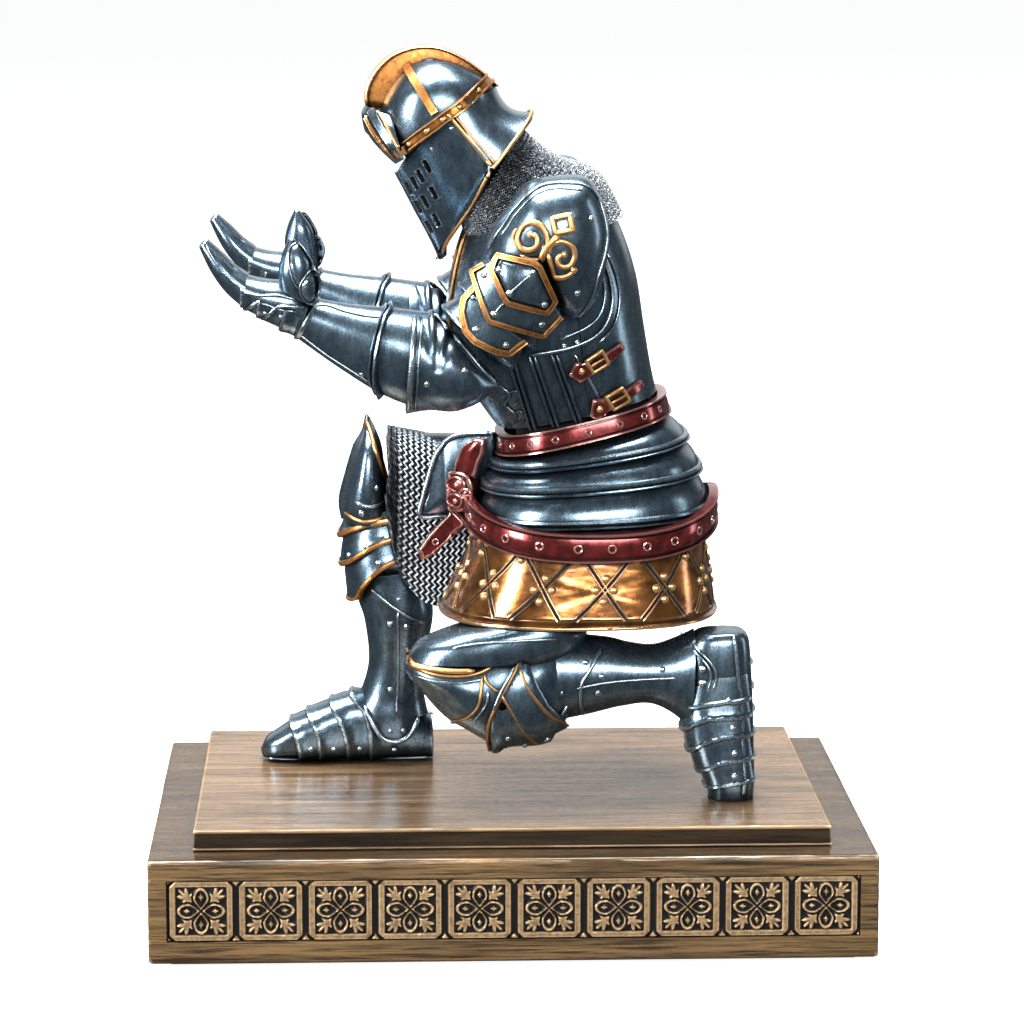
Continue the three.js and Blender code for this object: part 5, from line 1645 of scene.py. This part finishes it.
    def finger_relief(t, a):
        """Three grooves between four fingers."""
        across = np.sin(a)
        groove = np.zeros_like(a)
        for k in (-0.5, 0.0, 0.5):
            groove = groove + np.exp(-((across - k) / 0.07) ** 2)
        ease = np.clip((t - 0.5) / 0.6, 0, 1)
        return -0.38 * groove * ease

    piece = Piece("fingers_left_cast")
    shell(fingers, 0, 3, piece, STEEL, rows=60, count=140, height=finger_relief)
    skin = Skin(limb_skin(fingers, 0, 3))
    cord(piece, skin, [(-50.3, 117.0), (-48.7, 114.4), (-47.0, 112.3), (-44.8, 110.3)], 0.2,
         STEEL)
    cord(piece, skin, [(-50.2, 116.0), (-48.2, 113.3), (-45.6, 110.9)], 0.16, STEEL)
    both_sides(piece, "fingers")

    thumb = Limb([[-38.0, 109.6, -32.4, 107.0, ARM_Y - 2.8, 2.3],
                  [-38.4, 112.6, -32.9, 111.6, ARM_Y - 2.9, 2.5],
                  [-37.8, 115.6, -33.6, 115.0, ARM_Y - 2.8, 2.2],
                  [-36.7, 118.0, -35.5, 117.8, ARM_Y - 2.7, 1.0]], 2.1)
    piece = Piece("thumb_left_cast")
    shell(thumb, 0, 3, piece, STEEL, rows=50, count=80)
    skin = Skin(limb_skin(thumb, 0, 3))
    for loop, lift in (
            ([(-36.4, 116.4), (-35.2, 117.3), (-33.9, 115.8), (-33.0, 113.4), (-34.9, 110.2),
              (-36.4, 113.1)], 0.45),
            ([(-33.0, 113.2), (-32.0, 111.4), (-32.2, 109.5), (-33.4, 107.6), (-34.6, 108.8),
              (-34.9, 110.6), (-34.2, 112.2)], 0.75)):
        smooth = curve(loop, 0.6, False, closed=True)
        panel(piece, skin, smooth, lift, STEEL, spacing=0.4, edge=0.4, crown=0.35, guess=-28)
        cord(piece, skin, loop, 0.16, STEEL, closed=True, lift=lift - 0.1, guess=-28)
    both_sides(piece, "thumb")


# ------------------------------------------------------------------ legs


def crossing(limb, points, t0=0.0):
    """Station number as a function of the angle, along a line seen from the side."""
    t, a = np.meshgrid(np.linspace(t0, limb.last, 200), np.linspace(-math.pi, 0, 160),
                       indexing="ij")
    spots = limb.at(t, a)
    line = curve(points, 0.25)
    found = []
    for x, z in line:
        gap = (spots[..., 0] - x) ** 2 + (spots[..., 2] - z) ** 2
        k = np.unravel_index(np.argmin(gap), gap.shape)
        found.append((abs(a[k]), t[k]))
    found = np.array(sorted(found))
    keep = np.r_[True, np.diff(found[:, 0]) > 1e-3]
    found = found[keep]
    return lambda angle: np.interp(np.abs((angle + math.pi) % TAU - math.pi),
                                   found[:, 0], found[:, 1])


def lame(piece, limb, edge_a, edge_b, high, start=0.05):
    """A plate round a limb that rises to a gilt bead along its free edge."""
    bead, width, depth = 0.32, 0.8, -0.8
    rows = [(0, 0, depth), (0, 0, start)]
    rows += [(f, 0, start + (high - start) * f) for f in (0.25, 0.5, 0.7)]
    body = len(rows)
    rows += [(1, -width * 1.15, high - 0.05), (1, -width, high + bead * 0.7),
             (1, -width * 0.5, high + bead), (1, -width * 0.1, high + bead * 0.6),
             (1, 0, high - 0.1), (1, 0, depth)]
    marks = [STEEL] * body + [GOLD] * 5 + [STEEL]
    along(limb, edge_a, edge_b, rows, piece, marks, count=110)


RIGHT_Y, LEFT_Y = 15.0, -16.0            # middles of the two legs


def right_leg():
    """The raised leg: cuisse, knee cop, two knee lames, greave and sabaton."""
    thigh = Limb([[-2, 79.2, -6, 62, RIGHT_Y - 1, 9], [-12, 79.5, -13, 62.5, RIGHT_Y, 8.6],
                  [-20.5, 79.4, -19, 63.5, RIGHT_Y, 7.6]], 2.3)
    piece = Piece("cuisse_right_cast")
    shell(thigh, 0, 2, piece, STEEL, rows=30, count=90)
    piece.done("cuisse_right")

    cop = Limb([[-24.3, 82.8, -23.3, 82.2, RIGHT_Y, 1.0], [-24.9, 80.2, -22.3, 80.0, RIGHT_Y, 4.6],
                [-26.0, 77.4, -21.3, 77, RIGHT_Y, 7.6],
                [-27.4, 72.8, -20.6, 71.5, RIGHT_Y, 8.8], [-28.6, 67.9, -19.8, 67.5, RIGHT_Y, 8.8],
                [-28.2, 64.4, -18.5, 63.8, RIGHT_Y, 8.2]], 2.2)
    piece = Piece("poleyn_right_cast")

    def cop_relief(t, a):
        """A ridge down the front of the cop."""
        ridge = 0.5 * np.exp(-(a / 0.12) ** 2) + 0.5 * np.exp(-((a - TAU) / 0.12) ** 2)
        return ridge * np.clip(t - 1, 0, 1)

    shell(cop, 0, 5, piece, STEEL, rows=66, count=110, height=cop_relief)
    skin = Skin(limb_skin(cop, 0, 5, 70))
    for side in (LEFT, RIGHT):
        cord(piece, skin, [(-24.1, 82.2), (-23.3, 80.0), (-22.5, 77.2), (-21.5, 73.9),
                           (-20.4, 70.3)], 0.42, GOLD, side, guess=RIGHT_Y)
        for line, metal in (([(-26.1, 68.6), (-23.5, 67.8), (-20.6, 68.4)], STEEL),
                            ([(-27.9, 66.2), (-25.6, 65.3), (-23.5, 65.2), (-20.0, 66.0)], GOLD)):
            cord(piece, skin, line, 0.34, metal, side)
        rivets(piece, skin, [(-22.3, 71.0), (-25.0, 66.6)], 0.5, STEEL, side)
    piece.done("poleyn_right")

    lames = Limb([[-27.4, 66.0, -15.2, 67.4, RIGHT_Y, 7.2], [-28.4, 61.6, -15.0, 63.6, RIGHT_Y, 7.6],
                  [-28.2, 56.0, -14.8, 59.0, RIGHT_Y, 7.7],
                  [-27.0, 49.8, -14.6, 54.6, RIGHT_Y, 7.5]], 2.2)
    edges = {"upper": ([(-28.4, 61.0), (-27.1, 62.2), (-23.5, 63.9), (-19.1, 64.6), (-15.2, 65.0)],
                       [(-28.3, 56.0), (-27.4, 56.6), (-25.7, 57.9), (-22.7, 60.1), (-19.1, 61.4),
                        (-15.0, 62.0)]),
             "lower": ([(-28.3, 56.6), (-25.7, 58.3), (-22.7, 60.3), (-19.1, 61.6), (-15.0, 62.0)],
                       [(-26.9, 50.0), (-25.7, 50.6), (-24.5, 52.8), (-21.8, 55.9), (-18.3, 57.6),
                        (-14.8, 58.2)])}
    skin = Skin(limb_skin(lames, 0, 3, 60))
    for name, (upper, lower) in edges.items():
        piece = Piece(f"knee_lame_right_{name}_cast")
        top, foot = crossing(lames, upper), crossing(lames, lower)
        if name == "upper":
            lame(piece, lames, 0.05, top, 0.75)
            lame(piece, lames, top, foot, 0.7, start=-0.1)
            spots = [(-24.1, 60.4), (-27.0, 58.6)]
        else:
            lame(piece, lames, top, foot, 0.6, start=-0.15)
            spots = [(-22.0, 57.6)]
        rivets(piece, skin, spots, 0.5, STEEL, lift=0.4)
        piece.done(f"knee_lame_right_{name}")

    shin = Limb([[-26.0, 54.4, -13.2, 56.0, RIGHT_Y, 6.8], [-25.8, 50.1, -12.8, 51.4, RIGHT_Y, 7.0],
                 [-24.6, 46, -12.4, 46.5, RIGHT_Y, 6.8], [-23.9, 39, -13.8, 39, RIGHT_Y, 5.9],
                 [-25.2, 33.6, -14, 32.8, RIGHT_Y, 5.8], [-27.4, 30.0, -13.3, 28.6, RIGHT_Y, 6.3],
                 [-28.2, 25.6, -13.2, 24.2, RIGHT_Y, 6.4]], 2.2)
    ankle = [(-27, 34.4), (-24.6, 31.2), (-22.3, 26.8), (-21, 25.5), (-19.2, 25.1),
             (-17.5, 25.5), (-16.2, 27), (-15.2, 29.2)]
    hem = crossing(shin, ankle, 3.0)
    piece = Piece("greave_right_cast")
    shell(shin, 0, hem, piece, STEEL, rows=80, count=150)
    skin = Skin(limb_skin(shin, 0, 6, 70))
    for side in (LEFT, RIGHT):
        cord(piece, skin, [(-23.6, 52.9), (-19.2, 49.3), (-14.0, 46.2)], 0.32, STEEL, side)
        cord(piece, skin, [(-18.7, 48.6), (-18.7, 38), (-19.0, 30.4)], 0.26, STEEL, side)
        rivets(piece, skin, [(-18.5, 50.9), (-20.1, 46.4), (-17.2, 45.9), (-20.0, 34.4)], 0.42,
               STEEL, side)
    piece.done("greave_right")

    foot = Limb([[-43.3, 23.0, -42.6, 21.0, RIGHT_Y, 1.4], [-42.2, 24.9, -41.7, 21.0, RIGHT_Y, 3.4],
                 [-40.0, 26.4, -39.6, 21.0, RIGHT_Y, 4.6],
                 [-36.6, 28.6, -36, SOLE, RIGHT_Y, 5.3], [-31.6, 31.0, -31, SOLE, RIGHT_Y, 5.6],
                 [-25.6, 33.2, -25, SOLE, RIGHT_Y, 5.3], [-18.6, 31.6, -18, SOLE, RIGHT_Y, 5.2],
                 [-12.8, 28.6, -12.6, SOLE, RIGHT_Y, 4.2]], 2.8)
    piece = Piece("sabaton_right_cast")
    shell(foot, 0, 7, piece, STEEL, rows=80, count=110, core=-0.15)
    marks = [crossing(foot, line) for line in (
        [(-37.6, 28.4), (-36.2, 25.2), (-35.6, 21.6)],
        [(-34.4, 29.7), (-32.6, 26.4), (-32.0, 21.6)],
        [(-30.2, 31.4), (-28.4, 28.4), (-27.4, 25.1), (-27.0, 21.6)],
        [(-26.6, 32.6), (-24.4, 30.2), (-23.2, 26.8), (-22.8, 21.6)])]
    shape = dict(a0=-2.55, a1=2.55, count=90)
    rows = [(0, -0.9, -0.3), (0, -0.9, 0.40), (0, -0.55, 0.66), (0, -0.15, 0.62), (0, 0.25, 0.36),
            (0.4, 0, 0.26), (1, 0, 0.10), (1, 0, -0.3)]
    for near, far in zip(marks, marks[1:]):
        along(foot, near, far, rows, piece, STEEL, **shape)
    heel = 6.2
    along(foot, marks[-1], heel, rows[:5] + [(0.3, 0, 0.1), (1, 0, -0.3)], piece, STEEL, **shape)
    skin = Skin(limb_skin(foot, 0, 7, 80), limb_skin(shin, 3, 6, 30))
    for side in (LEFT, RIGHT):
        cord(piece, skin, ankle[1:], 0.46, STEEL, side, lift=0.1)
        rivets(piece, skin, [(-34.2, 23.7), (-30.2, 23.7), (-25.6, 23.6), (-19.4, 23.4)], 0.42,
               STEEL, side, lift=0.25)
        rivets(piece, skin, [(-20.1, 27.0), (-17.8, 27.0)], 0.36, STEEL, side, lift=0.1)
        cord(piece, skin, [(-42.0, 21.5), (-36, 21.3), (-28, 21.3), (-20, 21.3), (-13.2, 21.5)],
             0.3, STEEL, side)
    piece.done("sabaton_right")


def left_leg():
    """The kneeling leg: cuisse, knee cop with its wing, greave and sabaton on its toes."""
    thigh = Limb([[-5, 51.6, 12.6, 51.0, LEFT_Y, 8.2], [-10.2, 50.4, 13.4, 49.6, LEFT_Y, 8.7],
                  [-15.4, 48.2, 12.6, 47.2, LEFT_Y, 8.9], [-17.4, 45.4, 10.0, 45.6, LEFT_Y, 8.6]],
                 2.3)
    piece = Piece("cuisse_left_cast")
    shell(thigh, 0, 3, piece, STEEL, rows=50, count=130)
    skin = Skin(limb_skin(thigh, 0, 3, 60))
    for side in (LEFT, RIGHT):
        cord(piece, skin, [(-9.8, 48.4), (-5.1, 49.3), (1.7, 49.9), (7.8, 50.0)], 0.26, STEEL, side)
        cord(piece, skin, [(-17.3, 46.0), (-15.4, 44.9), (-10.1, 44.6), (-6.0, 44.8)], 0.5, GOLD,
             side, guess=side * 6 + LEFT_Y)
    piece.done("cuisse_left")

    knee = Pillow([(-17.6, 44.8), (-14.6, 39.4), (-10.9, 35.3), (-7.4, 33.1), (-3.2, 30.6),
                   (-1.7, 29.6), (1, 31.4), (6.8, 31.6), (9.8, 34.4), (12.0, 40), (10.0, 47.6),
                   (0, 49.4), (-8, 47.4)], (-1.5, 39), LEFT_Y, 9.0, 2.3)
    cushion = knee.grid(60, 150)
    piece = Piece("poleyn_left_cast")
    piece.grid(cushion, STEEL)
    skin = Skin((cushion, True), limb_skin(thigh, 0, 3, 60))
    side_guess = LEFT_Y - 6                      # near the knee's outer face
    cord(piece, skin, [(-17.2, 44.9), (-13.4, 43.9), (-10.1, 43.6), (-6.7, 43.8), (-4.4, 44.5),
                       (-2.9, 45.4)], 0.42, GOLD, guess=side_guess)
    cord(piece, skin, [(-16.2, 43.4), (-12.6, 42.7), (-8.4, 42.6), (-4.6, 43.2)], 0.24, STEEL,
         guess=side_guess)
    for line, metal, radius in (
            ([(-4.3, 44.0), (-3.9, 42.7), (-2.4, 41.4), (-1.6, 41.3)], WORN, 0.28),
            ([(-4.7, 43.6), (-4.9, 41.4), (-5.4, 38.7), (-7.1, 36.6), (-9.6, 35.4)], WORN, 0.30),
            ([(-3.7, 41.3), (-4.2, 38.7), (-6.4, 35.6)], STEEL, 0.26),
            ([(14.9, 46.1), (11.6, 41.0), (8.3, 35.8)], STEEL, 0.45),
            ([(15.9, 45.6), (12.5, 40.4), (9.2, 35.4)], STEEL, 0.25)):
        cord(piece, skin, line, radius, metal, guess=side_guess)
    rivets(piece, skin, [(-13.4, 36.6), (-9.7, 34.6), (8.9, 40.4), (12.0, 45.4)], 0.5, STEEL)
    piece.done("poleyn_left")

    shin = Limb([[-4.0, 34.6, -1.0, 47.6, LEFT_Y, 6.9], [3.4, 33.8, 6.6, 49.4, LEFT_Y, 6.9],
                 [13, 35.4, 16.2, 48.8, LEFT_Y, 6.6], [19, 36.8, 20.6, 47.8, LEFT_Y, 6.1],
                 [24.5, 37.2, 25, 47.4, LEFT_Y, 5.6], [29.4, 34.4, 29.6, 49.0, LEFT_Y, 5.7],
                 [32.0, 30.4, 32.6, 50.6, LEFT_Y, 5.6]], 2.2)
    wing = Piece("poleyn_wing_left_cast")
    base = Skin((cushion, True), limb_skin(thigh, 0, 3, 60), limb_skin(shin, 0, 3, 60))
    leaf = [(1.8, 46.2), (0.0, 43.6), (-1.8, 40.5), (-3.2, 37.4), (-3.5, 34.4), (-2.8, 31.6),
            (-2.2, 30.0), (-1.5, 31.5), (2.9, 31.6), (6.7, 32.4), (7.2, 33.8), (9.6, 34.4),
            (8.4, 36.6), (6.2, 38.8), (4.6, 41.8), (3.0, 45.4)]
    panel(wing, base, leaf, 1.3, STEEL, spacing=0.5, edge=0.4, guess=side_guess, crown=0.4)
    for line, metal, radius, lift in (
            ([(1.4, 45.4), (-0.9, 41.6), (-2.5, 38.7), (-3.4, 36.1), (-3.3, 33.2), (-2.4, 30.6)],
             WORN, 0.34, 1.2),
            ([(1.6, 44.6), (2.6, 42.0), (4.5, 39.2), (6.4, 37.0), (8.8, 35.4)], WORN, 0.36, 1.2),
            ([(-1.6, 40.9), (0.8, 37), (2.6, 34.6), (4.6, 32.8)], WORN, 0.28, 1.4),
            ([(0.6, 44.8), (-1.6, 41.2), (-2.9, 38.4)], STEEL, 0.28, 1.6)):
        cord(wing, base, line, radius, metal, guess=side_guess, lift=lift)
    rivets(wing, base, [(-1.0, 33.8), (2.6, 32.6), (5.8, 33.4)], 0.5, STEEL, lift=1.5)
    wing.done("poleyn_wing_left")

    piece = Piece("greave_left_cast")
    shell(shin, 0, 5.6, piece, STEEL, rows=70, count=110)
    skin = Skin(limb_skin(shin, 0, 6, 70))
    for side in (LEFT, RIGHT):
        cord(piece, skin, [(11.4, 41.2), (15.0, 41.9), (18.8, 42.3), (24.0, 42.5), (28.4, 42.6)],
             0.28, STEEL, side)
        cord(piece, skin, [(15.6, 47.6), (13.4, 44.0), (12.2, 41.8), (12.0, 38.4), (12.8, 35.8)],
             0.34, STEEL, side)
        rivets(piece, skin, [(12.9, 45.6), (15.6, 43.2), (15.0, 40.3), (26.0, 44.1)], 0.46, STEEL,
               side)
    piece.done("greave_left")

    foot = Limb([[32.0, 49.6, 40.4, 49.8, LEFT_Y, 4.6], [30.6, 48.0, 41.2, 48.4, LEFT_Y, 5.3],
                 [29.8, 43, 41.6, 44, LEFT_Y, 5.8], [29.6, 35, 42, 37, LEFT_Y, 5.9],
                 [31.2, 28.6, 42.2, 30, LEFT_Y, 5.6], [33.8, 23.6, 42.4, 24, LEFT_Y, 5.2],
                 [34.3, SOLE, 42.2, SOLE, LEFT_Y, 4.7]], 2.7)
    piece = Piece("sabaton_left_cast")
    shell(foot, 0, 6, piece, STEEL, rows=80, count=110, core=-0.1)
    marks = [crossing(foot, line) for line in (
        [(29.0, 39.6), (32.5, 41.4), (35, 42.4), (39.6, 43.0)],
        [(29.1, 36.2), (32.0, 37.2), (35, 37.9), (39.6, 38.2)],
        [(30.0, 32.6), (32.5, 34.6), (35, 35.2), (39.8, 35.4)],
        [(31.0, 28.9), (33.4, 30.9), (36.8, 32.0), (40.6, 32.2)],
        [(32.6, 25.4), (34.3, 26.5), (36.8, 27.6), (41.0, 28.0)],
        [(33.8, 22.6), (35.4, 23.2), (38.4, 23.8), (41.2, 24.2)])]
    rows = [(0, 0, -0.3), (0, 0, 0.0), (0.5, 0, 0.25), (1, -0.8, 0.42), (1, -0.6, 0.68),
            (1, -0.2, 0.72), (1, 0.1, 0.45), (1, 0.1, -0.3)]
    for near, far in zip(marks, marks[1:]):
        along(foot, near, far, rows, piece, STEEL, a0=-2.4, a1=2.4, count=90)
    skin = Skin(limb_skin(foot, 0, 6, 80))
    for side in (LEFT, RIGHT):
        for shift in (0.0, 0.9):
            cord(piece, skin, [(29.7 + shift, 48.6), (32.2 + shift, 46.4), (33.9 + shift, 44.2),
                               (34.2 + shift, 42.2), (33.6 + shift, 40.2)], 0.26, STEEL, side)
        cord(piece, skin, [(38.1, 49.6), (38.4, 47.3), (38.9, 42.1), (39.6, 37.4), (39.8, 31.6),
                           (40.2, 26.0), (40.0, 21.6)], 0.34, STEEL, side)
        rivets(piece, skin, [(32.8, 44.1), (32.8, 41.7), (37.2, 38.8), (38, 33.9), (38.3, 29.4),
                             (38.4, 25.4)], 0.5, STEEL, side, lift=0.3)
    for z in (24.5, 28.5, 32.5, 36.5, 40.5, 44.5):
        t = crossing(foot, [(41.2, z), (41.9, z)])(math.pi)
        along(foot, t, t + 0.02, [(0, -0.5, -0.2), (0, -0.4, 0.34), (0, 0.4, 0.34), (0, 0.5, -0.2)],
              piece, STEEL, a0=2.5, a1=TAU - 2.5, count=40)
    piece.done("sabaton_left")


# ------------------------------------------------------------------ hip furniture


def tabard():
    """Tasset, buckled strap and hanging belt end at the left hip."""
    flat = Skin((np.array([[(x, 1.6 + 0.9 * math.cos((x + 6) * 0.25) - 2.2
                             * max(0.0, (x + 10.5)) * 0.16, z) for z in np.linspace(55, 84, 40)]
                           for x in np.linspace(-18, -2, 40)]), False))
    piece = Piece("tasset_cast")
    panel(piece, flat, [(-15.1, 67.0), (-14.4, 70.4), (-13.4, 74.2), (-12.4, 77.4), (-11.0, 79.6),
                        (-8.8, 81.0), (-5.4, 81.7), (-1.8, 81.9), (-1.2, 79.0), (-2.6, 73.0),
                        (-5.0, 69.0), (-7.6, 66.4)], 0.4, STEEL, edge=0.3, sink=1.1,
          spacing=0.6, crown=1.3)
    cord(piece, flat, [(-2.0, 81.9), (-5.4, 81.6), (-8.8, 80.9), (-11.0, 79.4), (-12.4, 77.2),
                       (-13.4, 74.0), (-14.4, 70.4), (-14.9, 67.1), (-11.4, 66.9), (-8.0, 66.6)],
         0.42, STEEL, lift=0.5)
    cord(piece, flat, [(-10.4, 78.4), (-11.6, 75.4), (-13.2, 71.0), (-13.8, 68.3),
                       (-11.0, 68.2)], 0.2, STEEL, lift=0.6)
    piece.done("tasset")

    front = Skin((np.array([[(x, -0.9 - 1.2 * max(0.0, x + 9.0) ** 0.7, z)
                             for z in np.linspace(55, 84, 30)]
                            for x in np.linspace(-18, -2, 50)]), False))
    piece = Piece("front_strap_worked")
    panel(piece, front, [(-8.6, 74.2), (-8.2, 77.0), (-7.2, 79.8), (-5.6, 81.3), (-3.6, 81.4),
                         (-3.9, 79.0), (-4.8, 76.6), (-5.3, 74.4)], 0.5, LEATHER,
          edge=0.35, sink=0.8, spacing=0.4, crown=0.5)
    for line in ([(-8.4, 74.6), (-8.0, 77.0), (-7.0, 79.6), (-5.5, 81.0)],
                 [(-5.4, 74.8), (-4.9, 76.8), (-4.1, 79.0), (-3.8, 81.2)]):
        cord(piece, front, line, 0.26, LEATHER, lift=0.55)
    piece.done("front_strap", slot="red_leather")

    piece = Piece("hip_buckle_worked")
    panel(piece, front, [(-9.8, 74.0), (-8.2, 75.3), (-6.2, 75.0), (-5.2, 72.6), (-5.7, 69.4),
                         (-8.6, 68.4), (-10.1, 70.6)], 1.2, LEATHER, edge=0.5, sink=2,
          spacing=0.5, crown=0.5)
    for cx, cz, r in ((-7.6, 73.2, 1.25), (-7.8, 70.4, 1.1), (-6.2, 71.8, 0.8), (-9.2, 71.9, 0.7)):
        ring = [(cx + r * math.cos(k), cz + r * math.sin(k))
                for k in np.linspace(0, TAU, 12, endpoint=False)]
        cord(piece, front, ring, 0.3, LEATHER, closed=True, lift=1.5)
        rivets(piece, front, [(cx, cz)], 0.45, LEATHER, lift=1.6)
    cord(piece, front, [(-9.6, 74.2), (-8.2, 75.1), (-6.2, 74.8), (-5.4, 72.6), (-5.9, 69.6),
                        (-8.6, 68.7), (-9.9, 70.6)], 0.34, LEATHER, closed=True, lift=1.2)
    piece.done("hip_buckle", slot="red_leather")

    piece = Piece("belt_tail_worked")
    tail = [(-8.4, 69.0), (-6.2, 66.8), (-10.2, 62.8), (-13.2, 60.2), (-14.6, 59.6), (-15.2, 61.2),
            (-13.4, 63.8), (-11.4, 66.0)]
    panel(piece, front, tail, 0.7, LEATHER, edge=0.25, sink=1.2, spacing=0.5)
    inner = np.array(tail)
    inner = inner.mean(0) + (inner - inner.mean(0)) * 0.86
    cord(piece, front, inner, 0.24, LEATHER, closed=True, sharp=True, lift=0.65)
    spot, out = front.drop(-12.2, 62.9, LEFT)
    eyelet(piece, spot + out * 0.7, out, 0.6)
    piece.done("belt_tail", slot="red_leather")


arms()
right_leg()
left_leg()
tabard()

# ------------------------------------------------------------------ floor and light


FLOOR_HALF, FLOOR_LEVEL = 8, -0.0002     # metres
SKY = (0.84, 0.93, 1, 1)
SKY_STRENGTH = 0.10


def floor():
    """A wide flat floor that takes shadows and stays out of reflections."""
    mesh = bpy.data.meshes.new("studio_floor")
    n = 60
    wide = np.linspace(-FLOOR_HALF, FLOOR_HALF, n)
    x, y = np.meshgrid(wide, wide, indexing="ij")
    verts = np.stack([x, y, np.full_like(x, FLOOR_LEVEL)], -1).reshape(-1, 3)
    mesh.from_pydata(verts.tolist(), [], quads(n, n, False, False).tolist())
    mesh.materials.append(FLOOR)
    made = bpy.data.objects.new("studio_floor", mesh)
    made.visible_glossy = False
    bpy.context.scene.collection.objects.link(made)


def softbox(name, place, aim, wide, tall, power):
    """An area light in metres and watts, turned to a point."""
    data = bpy.data.lights.new(name, "AREA")
    data.shape = "RECTANGLE"
    data.size = wide
    data.size_y = tall
    data.energy = power
    made = bpy.data.objects.new(name, data)
    made.location = place
    made.visible_camera = False
    made.rotation_euler = (Vector(aim) - Vector(place)).to_track_quat("-Z", "Y").to_euler()
    bpy.context.scene.collection.objects.link(made)


def studio():
    world = bpy.data.worlds.new("studio_air")
    bpy.context.scene.world = world
    world.use_nodes = True
    background = world.node_tree.nodes["Background"]
    background.inputs[0].default_value = SKY
    background.inputs[1].default_value = SKY_STRENGTH
    middle = (0, 0, 0.08)
    softbox("overhead", (-0.10, 0.17, 0.92), middle, 0.74, 0.60, 60.0)
    softbox("left_panel", (-0.72, -0.42, 0.34), middle, 0.26, 0.46, 18.0)
    softbox("front_panel", (0.14, -0.92, 0.42), middle, 0.56, 0.22, 12.0)
    softbox("back_panel", (0.0, 1.0, 0.36), middle, 1.5, 0.48, 2.0)
    softbox("right_strip", (0.80, 0.05, 0.24), middle, 0.10, 0.50, 1.0)


floor()
studio()
bpy.context.scene.view_settings.view_transform = "Standard"
